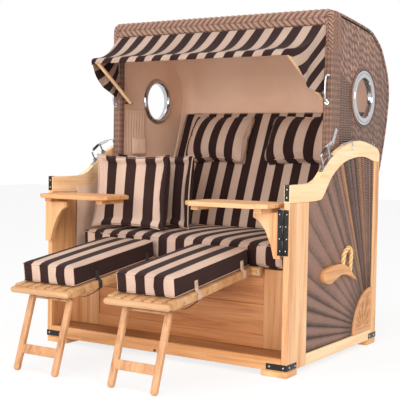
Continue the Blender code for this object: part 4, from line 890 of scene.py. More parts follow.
def hoodRun(inset=0.0, count=150):
    # the hood's side outline, moved inwards along its own normal
    shares = np.array(hood["shares"])
    run = evenRun(smoothRun(np.stack([hood["front"] + shares[:, 0] * hood["depth"], hood["low"]
        + shares[:, 1] * hood["rise"]], axis=1), 8), count)
    tangent = unit(np.gradient(run, axis=0))
    return run + np.stack([tangent[:, 1], -tangent[:, 0]], axis=1) * inset


def buildShell():
    # the outline carried across the hood; the sheet's outer edges are turned over by 5 mm; a wall stands inside it
    run = hoodRun()
    run[0, 0] += 0.0015
    x = np.linspace(-1, 1, 90)
    reach = hood["half"]
    drop = 0.004 * np.clip((np.abs(x) * reach - (reach - 0.006)) / 0.006, 0, 1) ** 2
    tangent = unit(np.gradient(run, axis=0))
    inward = np.stack([tangent[:, 1], -tangent[:, 0]], axis=1)
    flat = run[:, None] + inward[:, None] * drop[None, :, None]
    points = np.stack([np.repeat((x * reach)[None], len(run), axis=0), flat[..., 0] + frontY, flat[..., 1]], axis=-1)
    piece = meshFrom("wovenShell", [(points, evenUv(points))], shellWicker, 60)
    refine(piece, "SOLIDIFY", thickness=hood["wall"] - 0.002, offset=-1)
    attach(piece, "hood")
    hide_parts("hood_shell")


def flatCloth(name, outlines, x, thickness, material):
    # a flat panel cut to outlines in the side's own plane, the first its edge and the rest its holes
    curve = bpy.data.curves.new(name, "CURVE")
    curve.dimensions, curve.fill_mode, curve.extrude = "2D", "BOTH", thickness / 2
    for outline in outlines:
        spline = curve.splines.new("POLY")
        spline.points.add(len(outline) - 1)
        spline.points.foreach_set("co",
            np.hstack([outline, np.zeros((len(outline), 1)), np.ones((len(outline), 1))]).ravel())
        spline.use_cyclic_u = True
    guide = bpy.data.objects.new(name, curve)
    bpy.context.scene.collection.objects.link(guide)
    bpy.context.view_layer.update()
    mesh = bpy.data.meshes.new_from_object(guide.evaluated_get(bpy.context.evaluated_depsgraph_get()))
    bpy.data.objects.remove(guide, do_unlink=True)
    flat = np.zeros(len(mesh.vertices) * 3)
    mesh.vertices.foreach_get("co", flat)
    flat = flat.reshape(-1, 3)
    mesh.vertices.foreach_set("co", np.stack([flat[:, 2] + x, flat[:, 0] + frontY, flat[:, 1]], axis=1).ravel())
    mesh.materials.clear()
    layer = mesh.uv_layers.new(name="UVMap") if not mesh.uv_layers else mesh.uv_layers[0]
    corner = np.zeros(len(mesh.loops), int)
    mesh.loops.foreach_get("vertex_index", corner)
    layer.data.foreach_set("uv", flat[corner][:, :2].astype(np.float32).ravel())
    return finishMesh(name, mesh, material, 30)


window = {"place": (0.8125, 1.192), "border": 0.1375, "outer": 0.131, "inner": 0.124, "bead": 0.016, "open": 0.095,
    "neck": 0.0985, "flange": 0.0085}


def buildLining():
    # cloth inside the roof and back, rounded into both walls; then the walls' own cloth with a hole for each window
    run = hoodRun(hood["wall"] + 0.003)
    run = run[run[:, 1] > 0.63]
    run = np.vstack([[hood["clothFront"], run[0, 1]], run[run[:, 0] > hood["clothFront"]]])
    half = hood["half"] - hood["wall"] - 0.0035
    corner = 0.05
    turn = np.linspace(0, pi / 2, 9)
    across = np.concatenate([-half + corner * (1 - np.cos(turn)), np.linspace(-half + corner, half - corner,
            60)[1:-1], (half - corner * (1 - np.cos(turn)))[::-1]])
    inward = np.concatenate([corner * (1 - np.sin(turn)), np.zeros(58), (corner * (1 - np.sin(turn)))[::-1]])
    tangent = unit(np.gradient(run, axis=0))
    normal = np.stack([tangent[:, 1], -tangent[:, 0]], axis=1)
    billow = 0.0015 * (1 - np.abs(np.cos(pi * (across / 0.597 + 1) * 2)))
    flat = run[:, None] + normal[:, None] * (inward + billow)[None, :, None]
    points = np.stack([np.repeat(across[None], len(run), axis=0), flat[..., 0] + frontY, flat[..., 1]], axis=-1)
    piece = meshFrom("hoodLining", [(points, evenUv(points))], liningCanvas, 60, flip=True)
    refine(piece, "SOLIDIFY", thickness=0.0015, offset=0)
    applyModifiers(piece)
    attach(piece, "hood")
    declareSheet(piece)
    for side, sign in (("left", -1), ("right", 1)):
        edge = hoodRun(hood["wall"] + 0.004, 70)
        edge = edge[edge[:, 0] > hood["clothFront"]]
        edge = np.vstack([[hood["clothFront"], edge[0, 1]], edge, [0.90, 0.56], [0.80, 0.50], [0.60, 0.50],
            [hood["clothFront"], 0.60]])
        angle = np.linspace(0, 2 * pi, 65)[:-1]
        hole = np.array(window["place"]) + (window["neck"] + 0.0015) * np.stack([np.cos(angle), np.sin(angle)],
            axis=1)
        wall = flatCloth(f"wallLining_{side}", [edge, hole], sign * (hood["half"] - hood["wall"] - 0.0016), 0.0016,
            liningCanvas)
        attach(wall, "hood")
        declareSheet(wall)


def buildWindow(side, sign):
    # a turned ring with a rolled lip on each face and a stepped sleeve through the wall, and a pane half-way through
    inside, outside = hood["half"] - hood["wall"] - 0.0003, hood["half"] + 0.0003
    flange, middle = window["flange"], hood["half"] - hood["wall"] / 2
    o, i, n, h = window["outer"], window["inner"], window["neck"], window["open"]
    bead = [(h + (i - h) * (0.5 - 0.5 * math.cos(t)), inside - window["bead"] * math.sin(t)) for t in np.linspace(0.1,
            pi - 0.1, 16)]
    profile = [(h, middle - 0.0016), (h, inside - 0.0005), *bead, (i, inside), (n, inside), (n, outside),
               (o, outside),
               (o, outside + flange * 0.35), (o - 0.002, outside + flange * 0.72),
               (o - 0.007, outside + flange * 0.92),
               (o - 0.012, outside + flange * 0.95), (o - 0.0135, outside + flange * 0.6),
               (o - 0.015, outside + flange * 0.6), (o - 0.0165, outside + flange),
               (h + 0.005, outside + flange), (h + 0.001, outside + flange * 0.8), (h, outside + flange * 0.4),
               (h, middle + 0.0016), (h, middle - 0.0016)]
    profile = np.array(profile) * (1, sign)
    metalRing = lathe(f"portholeRing_{side}", profile, (0, window["place"][0] + frontY, window["place"][1]), polished,
        steps=96, smooth=35)
    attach(metalRing, "hood")
    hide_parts(f"round_window_{side}")
    dome = np.array([(0, -0.0018), (0.05, -0.0017), (h - 0.0008, -0.0013), (h - 0.0004, 0), (h - 0.0008, 0.0013),
        (0.05, 0.0017), (0, 0.0018)])
    pane = lathe(f"portholePane_{side}", dome + (0, sign * middle),
        (0, window["place"][0] + frontY, window["place"][1]), clearPane, steps=64, smooth=60)
    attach(pane, "hood")


band = {"outer": 0.617, "face": 0.047, "topFace": 0.069, "front": 0.45, "rear": 0.4857, "wrap": 0.5317, "top": 1.569,
        "foot": 0.60,
        "corner": 0.040, "braidEnd": 1.385, "topPitch": 0.031, "sidePitch": 0.0185, "wound": 0.0046}


def buildBand():
    # one section carried up, over and down the arch; the plait is |sine| of a phase that runs along the arch and
    # leans back from each face's middle line, and it gives way to wound strands below
    r, w = band["corner"], band["outer"]
    turn = np.linspace(0, pi / 2, 12)
    right = np.stack([w - r + r * np.cos(turn), band["top"] - r + r * np.sin(turn)], axis=1)
    left = np.stack([-right[::-1, 0], right[::-1, 1]], axis=1)
    arch = evenRun(np.vstack([[(w, band["foot"])], right, left, [(-w, band["foot"])]]), 980)
    tangent = unit(np.gradient(arch, axis=0))
    inward = np.stack([-tangent[:, 1], tangent[:, 0]], axis=1)
    s = arcLengths(arch)
    isTop = np.clip((np.abs(inward[:, 1]) - 0.35) / 0.3, 0, 1)
    isTop = np.convolve(np.pad(isTop, 10, mode="edge"), np.ones(21) / 21, mode="valid")
    isBraid = np.clip((arch[:, 1] - band["braidEnd"]) / 0.004, 0, 1)
    face = band["face"] + (band["topFace"] - band["face"]) * isTop

    turnSmall = np.linspace(0, pi / 2, 5)[1:-1]
    front, rear, wrap, edge = band["front"], band["rear"], band["wrap"], 0.008
    shapes = []
    for faceWidth, stepIn in ((band["face"], 0.0078), (band["topFace"], 0.0128)):
        outer = [(0, d) for d in np.linspace(wrap, front + edge, 16)]
        cornerA = [(edge - edge * math.cos(a), front + edge - edge * math.sin(a)) for a in turnSmall]
        across = [(n, front) for n in np.linspace(edge, faceWidth - edge, 18)]
        cornerB = [(faceWidth - edge + edge * math.sin(a), front + edge - edge * math.cos(a)) for a in turnSmall]
        back = [(faceWidth, front + edge), (faceWidth, rear), (faceWidth * 0.5, rear), (stepIn, rear),
            (stepIn, (rear + wrap) / 2), (stepIn, wrap), (0, wrap)]
        shapes.append(outer + cornerA + across + cornerB + back)
    shapes = np.array(shapes)
    section = shapes[0][None] + (shapes[1] - shapes[0])[None] * isTop[:, None, None]
    reach = np.concatenate([np.zeros((len(s), 1)), np.cumsum(np.linalg.norm(np.diff(section, axis=1), axis=2),
            axis=1)], axis=1)
    outerLength = wrap - front - edge / 2
    centre = np.where(reach < outerLength, outerLength / 2, outerLength + face[:, None] / 2 + 0.004)
    away = np.abs(reach - centre)
    pitch = band["sidePitch"] + (band["topPitch"] - band["sidePitch"]) * isTop
    run = np.cumsum(np.gradient(s) / pitch)[:, None]
    phase = run + away / (pitch[:, None] * 1.05)
    plaitHeight = np.abs(np.sin(pi * phase)) ** 0.55 * np.clip(1.15 - np.exp(-(away / 0.004) ** 2) * 0.45, 0, 1)
    soft = np.ones(section.shape[1])
    soft[-7:] = 0
    soft[0] = 0
    woundRelief = 0.62 + 0.14 * np.cos(2 * pi * s[:, None] / 0.027) + 0.12 * np.cos(2 * pi * reach / 0.0165)
    # the plait's and the wraps' height is kept for the colour: painted shade in the dips and between the wraps
    reliefShade = plaitHeight * isBraid[:, None] + woundRelief * (1 - isBraid[:, None])
    push = ((plaitHeight - 0.75) * 0.0065 * isBraid[:, None] + (woundRelief - 0.6) * 0.001
        * (1 - isBraid[:, None])) * soft[None]
    push -= 0.0022 * (1 - isBraid[:, None]) * soft[None]
    core = np.where(isBraid[:, None] > 0.5, 3 * phase, s[:, None] / band["wound"])
    sectionTangent = unit(np.gradient(section, axis=1))
    outward = np.stack([-sectionTangent[..., 1], sectionTangent[..., 0]], axis=-1)
    toMiddle = section.mean(axis=1, keepdims=True) - section
    outward = np.where((outward * toMiddle).sum(-1, keepdims=True) > 0, -outward, outward)
    section = section + outward * push[..., None]
    points = np.stack([arch[:, None, 0] + inward[:, None, 0] * section[..., 0], section[..., 1] + frontY
                       + 0 * arch[:, None, 0],
                       arch[:, None, 1] + inward[:, None, 1] * section[..., 0]], axis=-1)
    values = np.stack([reliefShade, core], axis=-1)
    caps = [np.repeat(points[k].mean(axis=0)[None], points.shape[1], axis=0)[None] for k in (0, -1)]
    full = np.concatenate([caps[0], points, caps[1]])
    values = np.concatenate([values[:1], values, values[-1:]])
    piece = meshFrom("plaitedBorder", [(full, values)], plait, 60)
    carryUvAttributes(piece, ("reliefShade", "core"))
    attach(piece, "hood")
    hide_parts("hood_band")


def carryUvAttributes(piece, names):
    # the two numbers that came in as the UV map become corner attributes of their own
    count = len(piece.data.loops)
    flat = np.zeros(count * 2, np.float32)
    piece.data.uv_layers[0].data.foreach_get("uv", flat)
    for k, name in enumerate(names):
        layer = piece.data.attributes.new(name, "FLOAT", "CORNER")
        layer.data.foreach_set("value", flat.reshape(-1, 2)[:, k].copy())


def buildHoodGrip(side, sign):
    # a bow of bar whose ends run straight into the border
    x = sign * (band["outer"] - band["face"] / 2)
    neck = band["front"] - 0.0003 - 0.007
    angle = np.linspace(0, pi, 25)
    bow = np.stack([np.full(25, x), neck - 0.019 * np.sin(angle) ** 0.6 + frontY, 1.215 - 0.06 * np.cos(angle)],
        axis=1)
    ends = [(x, band["front"] + 0.004 + frontY, z) for z in (1.155, 1.275)]
    piece = sweep(f"hoodGrip_{side}", np.vstack([ends[0], bow, ends[1]]), ring(0.005, 14), polished)
    roses = [lathe(f"gripRose_{side}_{k}", [(0, -0.004), (0.011, -0.004), (0.012, -0.002), (0.012, 0.001),
                       (0, 0.001)],
                   (x, band["front"] + frontY, z), polished, axis="y", steps=24)
                   for k, z in enumerate((1.155, 1.275))]
    piece = joined(f"hoodGrip_{side}", [piece, *roses])
    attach(piece, "hood")
    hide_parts(f"hood_grip_{side}")


buildShell()
buildLining()
buildBand()
for side, sign in (("left", -1), ("right", 1)):
    buildWindow(side, sign)
    buildHoodGrip(side, sign)
print("hood, lining, plaited border and windows made")


def boxCushion(name, size, counts, darkAt, pitch, gusset, soften=0.35, shiftLeft=0.0, **others):
    # six grids of one closed box: top, base, front and rear share the stripes of x, the two gussets one stripe;
    # the corners are drawn in by a superellipse in plan
    half = np.array(size) / 2
    nx, ny, nz = counts
    scale = clothPitch / pitch

    def cover(x):
        # the place along the cloth, and the last panel on the left is cut half a stripe further on
        return (x - darkAt + shiftLeft * pitch * np.clip((-x - 0.45) / 0.03, 0, 1)) * scale

    def bend(points):
        share = points / half
        u, v = share[..., 0], share[..., 1]
        out = points.copy()
        out[..., 0] *= 1 - soften * 0.09 * np.abs(v) ** 7
        out[..., 1] *= 1 - soften * 0.06 * np.abs(u) ** 9
        return out

    x, y, z = (np.linspace(-h, h, n + 1) for h, n in zip(half, (nx, ny, nz)))
    grids = []
    for sign in (-1, 1):
        gx, gy = np.meshgrid(x, y)
        flat = np.stack([gx, gy, np.full_like(gx, sign * half[2])], axis=-1)
        grids.append((bend(flat), np.stack([cover(gx), gy], axis=-1)))
        gx, gz = np.meshgrid(x, z)
        flat = np.stack([gx, np.full_like(gx, sign * half[1]), gz], axis=-1)
        grids.append((bend(flat), np.stack([cover(gx), sign * (half[1] + half[2] - gz)], axis=-1)))
        gy, gz = np.meshgrid(y, z)
        flat = np.stack([np.full_like(gy, sign * half[0]), gy, gz], axis=-1)
        grids.append((bend(flat), np.stack([gusset * clothPitch + 0 * gy + (gz - half[2]) * 0.02, gy], axis=-1)))
    piece = meshFrom(name, grids, cushionCanvas, 180)
    edge = np.concatenate([np.stack([x, np.full_like(x, -half[1])], 1), np.stack([np.full_like(y, half[0]), y],
                               1)[1:],
                           np.stack([x[::-1], np.full_like(x, half[1])], 1)[1:],
                           np.stack([np.full_like(y, -half[0]), y[::-1]], 1)[1:-1]])
    loops = [bend(np.column_stack([edge, np.full(len(edge), level)])) for level in (half[2], -half[2])]
    return piece, loops


def pillowCushion(name, size, counts, darkAt, pitch, gather, **others):
    # two sewn faces, each a grid whose height is the product of the fullness along both ways, edges drawn in
    half = np.array(size) / 2
    nx, ny = counts
    u, v = np.meshgrid(np.linspace(-1, 1, nx + 1), np.linspace(-1, 1, ny + 1))
    fullness = ((1 - np.abs(u) ** 3.4) * (1 - np.abs(v) ** 4)) ** 0.55
    x = half[0] * u * (1 - 0.045 * (1 - v**2))
    y = half[1] * v * (1 - 0.05 * (1 - u**2))
    # more cloth is gathered into the right seam
    flatX = ((half[0] * u - darkAt) / pitch + gather * np.clip(u, 0, 1) ** 8) * clothPitch
    # it leans on its full rear face
    grids = [(np.stack([x, y, half[2] * share * fullness], axis=-1), np.stack([flatX, half[1] * v], axis=-1))
        for share in (-1.4, 0.24)]
    piece = meshFrom(name, grids, cushionCanvas, 180)
    rim = np.concatenate([np.stack([x[0], y[0]], 1), np.stack([x[:, -1], y[:, -1]], 1)[1:],
        np.stack([x[-1, ::-1], y[-1, ::-1]], 1)[1:], np.stack([x[::-1, 0], y[::-1, 0]], 1)[1:-1]])
    return piece, [np.column_stack([rim, np.zeros(len(rim))])]


def inflate(piece, pressure, cap):
    # the cover is blown up as cloth, and no point may end further than the cap from where it began
    rest = vertexPlaces(piece)
    made = piece.modifiers.new("Cover", "CLOTH")
    settings = made.settings
    settings.quality, settings.mass = 4, 0.25
    settings.tension_stiffness = settings.compression_stiffness = 18
    settings.shear_stiffness, settings.bending_stiffness = 6, 0.5
    settings.use_pressure, settings.uniform_pressure_force = True, pressure
    settings.effector_weights.gravity = 0
    made.collision_settings.use_collision = False
    made.point_cache.frame_start, made.point_cache.frame_end = 1, 16
    scene = bpy.context.scene
    for step in range(1, 17):
        scene.frame_set(step)
    view = bpy.context.evaluated_depsgraph_get()
    shown = piece.evaluated_get(view).to_mesh()
    moved = np.zeros(len(rest) * 3)
    shown.vertices.foreach_get("co", moved)
    piece.evaluated_get(view).to_mesh_clear()
    shift = moved.reshape(-1, 3) - rest
    length = np.linalg.norm(shift, axis=1, keepdims=True)
    shift *= np.minimum(1, cap * np.tanh(length / cap) / np.maximum(length, 1e-9))
    piece.modifiers.clear()
    scene.frame_set(1)
    piece.data.vertices.foreach_set("co", (rest + shift).ravel())
    piece.data.update()


def makeCushion(cushion):
    # a cover is blown up, scaled to its size, shaped, turned and placed; a welt follows each seam
    forms = {"box": boxCushion, "pillow": pillowCushion}
    piece, loops = forms[cushion["form"]](**cushion)
    rest = vertexPlaces(piece)
    seams = [np.linalg.norm(rest[:, None] - loop[None], axis=2).argmin(axis=0) for loop in loops]
    inflate(piece, cushion["pressure"], cushion["cap"])
    now = vertexPlaces(piece)
    low, high = now.min(axis=0), now.max(axis=0)
    now = (now - (low + high) / 2) * (np.array(cushion["size"]) / (high - low))
    if "shape" in cushion:
        now = cushion["shape"](now, now / (np.array(cushion["size"]) / 2))
    turn = Matrix.Rotation(cushion["turn"], 3, "X")
    now = now @ np.array(turn).T + np.array(cushion["place"])
    piece.data.vertices.foreach_set("co", now.ravel())
    piece.data.update()
    parts = [piece]
    for k, seam in enumerate(seams):
        line = now[seam]
        line = np.vstack([line[i:i + 1] for i in range(len(line)) if i == 0
            or np.linalg.norm(line[i] - line[i - 1]) > 1e-5])
        middle = line.mean(axis=0)
        welt = sweep(f"{cushion['name']}Welt{k}", line + unit(line - middle) * 0.0006, ring(cushion["welt"], 8),
            cushionCanvas, ref=np.array(turn) @ (0, 0, 1), closedPath=True)
        uv = np.zeros(len(welt.data.loops) * 2, np.float32)
        corner = np.zeros(len(welt.data.loops), int)
        welt.data.loops.foreach_get("vertex_index", corner)
        spots = vertexPlaces(welt)[corner]
        flatX = (spots[:, 0] - cushion["place"][0] - cushion["darkAt"]) * clothPitch / cushion["pitch"]
        uv.reshape(-1, 2)[:] = np.stack([flatX, spots[:, 1] + spots[:, 2]], axis=1)
        welt.data.uv_layers[0].data.foreach_set("uv", uv)
        parts.append(welt)
    refine(piece, "SUBSURF", levels=1, render_levels=1)
    applyModifiers(piece)
    piece = joined(cushion["name"], parts)
    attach(piece, cushion["body"])
    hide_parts(cushion["node"])


def crowned(crown, draw, radius):
    # the edges are rounded to a radius by the square-to-disc rule, the top rises with the product of both shares'
    # falls, and the sides draw in a little at half height
    def shape(points, share):
        u, v, w = share[:, 0], share[:, 1], share[:, 2]
        points = points.copy()
        half = np.abs(points).max(axis=0)
        for a, b in ((1, 2), (0, 2), (0, 1)):
            r = min(radius, half[a] * 0.9, half[b] * 0.9)
            p = np.clip((np.abs(points[:, a]) - half[a] + r) / r, 0, 1)
            q = np.clip((np.abs(points[:, b]) - half[b] + r) / r, 0, 1)
            near = (p > 0) & (q > 0)
            for axis, own, other in ((a, p, q), (b, q, p)):
                rounded = np.sign(points[:, axis]) * (half[axis] - r + r * own * np.sqrt(1 - other**2 / 2))
                points[:, axis] = np.where(near, rounded, points[:, axis])
        points[:, 2] += crown * (1 - u**2) * (1 - v**2) * (w > 0) - crown * 0.5 * (w > 0)
        points[:, 0] -= u * draw * (1 - w**2)
        points[:, 1] -= v * draw * (1 - w**2)
        return points
    return shape


def headShape(points, share):
    # flat at the back, thin where it hangs from the top, fullest below the middle, rounder towards both ends
    u, v = share[:, 0], share[:, 1]
    full = np.where(v > -0.3, 1 - 0.62 * (np.clip(v + 0.3, 0, 2) / 1.3) ** 2,
        1 - 0.34 * (np.clip(-0.3 - v, 0, 1) / 0.7) ** 2.2)
    full *= 1 - 0.22 * np.abs(u) ** 5
    points = points.copy()
    low = points[:, 2].min()
    points[:, 2] = low + (points[:, 2] - low) * full
    return points


def makeCushions():
    # seat, back, head pillows, throw pillows and footrest cushions, each from one dictionary
    seatLow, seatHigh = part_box("seat_cushion")
    size = np.array(seatHigh - seatLow)
    middle = np.array(seatLow + seatHigh) / 2
    seat = {"name": "seatCushion", "form": "box", "size": (size[0], size[1] + 0.027, 0.1235), "counts": (84, 44, 9),
            "darkAt": 0.02, "pitch": 0.0975, "gusset": 0.0,
            "pressure": 3.0, "cap": 0.008, "shape": crowned(0.012, 0.004, 0.036), "turn": 0.0,
            "place": (middle[0], middle[1] + 0.0135, seatLow[2] + 0.0618),
            "body": "base", "node": "seat_cushion", "fill": 0.8, "welt": 0.0014}
    makeCushion(seat)

    recline = math.radians(22.287)
    footY, footZ = 0.8106, 0.56
    along, back = np.array([0, math.sin(recline), math.cos(recline)]), np.array([0, math.cos(recline),
        -math.sin(recline)])

    def onBack(height):
        return np.array([0, footY + frontY, footZ]) + along * (height - footZ) / math.cos(recline)

    length = (1.14 - footZ) / math.cos(recline) + 0.024
    place = (onBack(footZ) + onBack(1.14)) / 2 + back * 0.025 - along * 0.012
    backForm = {"name": "backCushion", "form": "box", "size": (1.128, length, 0.052), "counts": (84, 46, 4),
                "darkAt": 0.008, "pitch": 0.098, "gusset": 0.0, "shiftLeft": 0.5, "soften": 0.06,
                "pressure": 3.0, "cap": 0.006, "shape": crowned(0.008, 0.002, 0.012), "turn": pi / 2 - recline,
                "place": tuple(place),
                "body": "hood", "node": "back_cushion", "fill": 0.7, "welt": 0.0014}
    makeCushion(backForm)
    for side, x, width, darkAt, pitch in (("left", -0.2755, 0.362, 0.0085, 0.0985),
            ("right", 0.2455, 0.418, 0.0545, 0.1135)):
        spot = onBack(0.981) - back * 0.052
        head = {"name": f"headPillow_{side}", "form": "box", "size": (width, 0.272, 0.104), "counts": (40, 28, 9),
                "darkAt": darkAt, "pitch": pitch, "gusset": 0.5,
                "pressure": 6.0, "cap": 0.022, "shape": headShape, "turn": pi / 2 - recline,
                "place": (x, spot[1], spot[2]),
                "body": "hood", "node": f"head_pillow_{side}", "fill": 0.7, "welt": 0.0024}
        makeCushion(head)
    for name, darkAt, pitch, gather, trim in (("front", -0.0125, 0.1175, 0.3, 0.012),
            ("rear", 0.145, 0.115, 0.6, 0.0)):
        low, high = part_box(f"throw_pillow_{name}")
        centre = np.array(low + high) / 2
        throw = {"name": f"throwPillow_{name}", "form": "pillow", "size": (0.455 - 2 * trim, 0.354, 0.13),
                 "counts": (56, 50), "darkAt": darkAt, "pitch": pitch, "gather": gather,
                 "pressure": 6.0, "cap": 0.014, "turn": pi / 2 - math.radians(6), "place": (centre[0] + 0.005 + trim,
                     centre[1], centre[2] - 0.012),
                 "body": "base", "node": f"throw_pillow_{name}", "fill": 0.7, "welt": 0.0022}
        makeCushion(throw)
    slope = math.radians(7.3)
    for side, x in (("left", -0.2345), ("right", 0.263)):
        pivotY, pivotZ = 0.115 + frontY, 0.4175
        local = np.array([0, -0.29, 0.0175 + 0.0004 + 0.045])
        spot = np.array([x, pivotY + local[1] * math.cos(slope) - local[2] * math.sin(slope),
            pivotZ + local[1] * math.sin(slope) + local[2] * math.cos(slope)])
        foot = {"name": f"footCushion_{side}", "form": "box", "size": (0.292, 0.58, 0.09), "counts": (30, 52, 9),
                "darkAt": -0.0185, "pitch": 0.0945, "gusset": 0.0,
                "pressure": 3.0, "cap": 0.005, "shape": crowned(0.005, 0.001, 0.019), "turn": slope,
                "place": tuple(spot),
                "body": f"{side}_footrest", "node": f"footrest_cushion_{side}", "fill": 0.85, "welt": 0.0014}
        makeCushion(foot)


makeCushions()
print("cushions made")


awning = {"pivot": (0.508, 1.168), "pivotHalf": 0.545, "tip": (0.195, 1.356), "tipHalf": 0.52, "bar": 0.009,
          "topHalf": 0.58, "barHalf": 0.536,
          "top": 1.497, "topY": 0.4467, "sag": 0.028, "valance": 0.024, "wing": 0.30, "wave": 0.014, "pitch": 0.0973,
          "darkAt": 0.055}


def buildAwning():
    # rows run from the hanging hem over the bar to the border; columns run across the roof and down both wings
    barY, barZ = awning["tip"]
    lift = awning["bar"] + 0.005
    rows, across, wing = 44, 110, 26
    t = np.linspace(0, 1, rows)[:, None]
    roofY = barY + (awning["topY"] - barY) * t
    roofZ = barZ + lift + (awning["top"] - barZ - lift) * t - awning["sag"] * np.sin(pi * t) * (1 + 0.15
        * np.sin(pi * t))
    half = awning["barHalf"] + (awning["topHalf"] - awning["barHalf"]) * t
    share = np.linspace(-1, 1, across)[None]
    scallop = 0.004 * np.sin(pi * t) * np.cos(share * pi * 5.5)
    roof = np.stack([half * share, roofY + 0 * share, roofZ + scallop], axis=-1)
    down = np.linspace(0, 1, wing)[None]
    drop = awning["valance"] + (awning["wing"] - awning["valance"]) * t ** 0.9
    # a wing hangs from the roof's edge in an S: out a little, then in, with a soft vertical fold
    sway = awning["wave"] * np.sin(2 * pi * t * 0.9 + 0.3) * np.sin(pi * down * 0.62) + 0.006 * np.sin(3 * pi
        * t) * down
    turnOver = 0.012 * (1 - np.exp(-down * 14))
    wingX = half + turnOver * 0.4 - np.abs(sway) * 0.5 + sway
    wingX = np.minimum(wingX, 0.5925)
    wingZ = roofZ - drop * down - 0.006 * (1 - np.exp(-down * 14))
    right = np.stack([wingX, roofY + 0 * down, wingZ], axis=-1)[:, 1:]
    left = right[:, ::-1].copy()
    left[..., 0] *= -1
    cloth = np.concatenate([left, roof, right], axis=1)
    flatU = np.concatenate([-(half + drop * down[:, 1:])[:, ::-1], half * share, half + drop * down[:, 1:]], axis=1)
    flatV = arcLengths(np.concatenate([roofY, roofZ], axis=1))[:, None] + 0 * flatU
    hemDown = np.linspace(1, 0, 7)[:-1, None]
    hem = np.stack([cloth[0, :, 0] + 0 * hemDown, barY - lift * np.sin(np.clip(hemDown * 2.2, 0, 1) * pi / 2)
                         - 0.004 * hemDown * np.cos(cloth[0, :, 0] * 40)[None] * (hemDown > 0.5),
                         (barZ + lift) - (awning["valance"] + 0.004) * hemDown ** 1.25 + 0 * cloth[0, :, 0]], axis=-1)
    hem[:, :wing - 1] = cloth[0, :wing - 1][None] + (hem[:, wing - 1:wing]
        - cloth[0, wing - 1:wing][None]) * np.linspace(0, 1, wing - 1)[None, :, None]
    hem[:, -(wing - 1):] = cloth[0, -(wing - 1):][None] + (hem[:, -wing:-(wing - 1)]
        - cloth[0, -wing:-(wing - 1)][None]) * np.linspace(1, 0, wing - 1)[None, :, None]
    points = np.concatenate([hem, cloth])
    points[..., 1] += frontY
    u = np.concatenate([np.repeat(flatU[:1], 6, axis=0) + 0.028 * np.linspace(1, 0, 6)[:, None] * 0.6, flatU])
    v = np.concatenate([-0.028 * hemDown + 0 * flatU[:1], flatV])
    uv = np.stack([(u - awning["darkAt"]) * clothPitch / awning["pitch"], v], axis=-1)
    cover = meshFrom("awningCloth", [(points, uv)], awningCanvas, 80)
    shape = bmesh.new()
    shape.from_mesh(cover.data)
    area = sum(face.calc_area() for face in shape.faces)
    shape.free()
    refine(cover, "SOLIDIFY", thickness=0.0016, offset=0)
    applyModifiers(cover)
    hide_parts("awning_cloth")
    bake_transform(cover)


def buildBow():
    # two flat-sided arms and a round front bar, one bent run as in the frame, with steel end plates at the pivots
    start, tip = np.array(awning["pivot"]), np.array(awning["tip"])
    parts = [bar("awningFrontBar",
                 [(x, tip[0] + frontY, tip[1]) for x in np.linspace(-awning["tipHalf"], awning["tipHalf"], 8)],
                 awning["bar"], railTimber, ref=(0, 0, 1))]
    for sign in (-1, 1):
        run = np.stack([np.linspace(sign * awning["pivotHalf"], sign * awning["tipHalf"], 8),
            np.linspace(start[0], tip[0], 8) + frontY, np.linspace(start[1], tip[1], 8)], axis=1)
        arm = sweep(f"awningArm{sign}", run, roundedRect(0.011, 0.019, 0.003), railTimber, ref=(1, 0, 0))
        parts.append(arm)
    bow = joined("awningBow", parts)
    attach(bow, "awning")
    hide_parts("awning_bow")
    for side, sign in (("left", -1), ("right", 1)):
        lead = unit(tip - start)
        run = [(sign * (awning["pivotHalf"] + 0.0075), *(start + lead * d + (frontY, 0))) for d in np.linspace(-0.012,
                0.05, 6)]
        plate = sweep(f"armPlate_{side}", run, roundedRect(0.003, 0.021, 0.001), pressed, ref=(1, 0, 0))
        reach = hood["half"] - hood["wall"] - 0.0024
        pin = bar(f"armPin_{side}",
            [(x, start[0] + frontY, start[1]) for x in np.linspace(sign * (awning["pivotHalf"] - 0.008),
                sign * (reach - 0.002), 4)], 0.0055, polished, ref=(0, 0, 1))
        piece = joined(f"armPlate_{side}", [plate, pin])
        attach(piece, "awning")


buildBow()
buildAwning()
print("awning made")


footrest = {"pivot": (0.115, 0.4175), "slope": math.radians(7.3), "places": {"left": -0.2345, "right": 0.263},
            "length": 0.645, "width": 0.318, "rail": 0.03,
            "height": 0.035, "front": 0.045, "slats": 5, "slat": (0.034, 0.012), "hip": (-0.4397, 0.3011),
            "lean": math.radians(17.6),
            "reach": 0.3149, "leg": (0.029, 0.022), "spread": 0.1035}


def turned(piece, angle, about):
    # the mesh turned in the side's plane by an angle about one place
    points = vertexPlaces(piece) - (0, about[0] + frontY, about[1])
    y = points[:, 1] * math.cos(angle) - points[:, 2] * math.sin(angle)
    z = points[:, 1] * math.sin(angle) + points[:, 2] * math.cos(angle)
    placed = np.stack([points[:, 0], y + about[0] + frontY, z + about[1]], axis=1)
    piece.data.vertices.foreach_set("co", placed.ravel())
    piece.data.update()
    return piece


def screwHead(name, place, axis, sign, radius=0.0042, material=None):
    # a shallow dome with a round drive pit, turned about its own axis
    r = radius
    profile = [(0, 0.0009), (r * 0.34, 0.0009), (r * 0.38, 0.0019), (r * 0.72, 0.0016), (r, 0.0006), (r, -0.0006),
        (0, -0.0006)]
    centre = np.array(place, float)
    shift = centre["xyz".index(axis)]
    centre["xyz".index(axis)] = 0
    head = lathe(name, np.array(profile) * (1, sign) + (0, shift), centre, material or pressed, axis, steps=20,
        smooth=50)
    return head


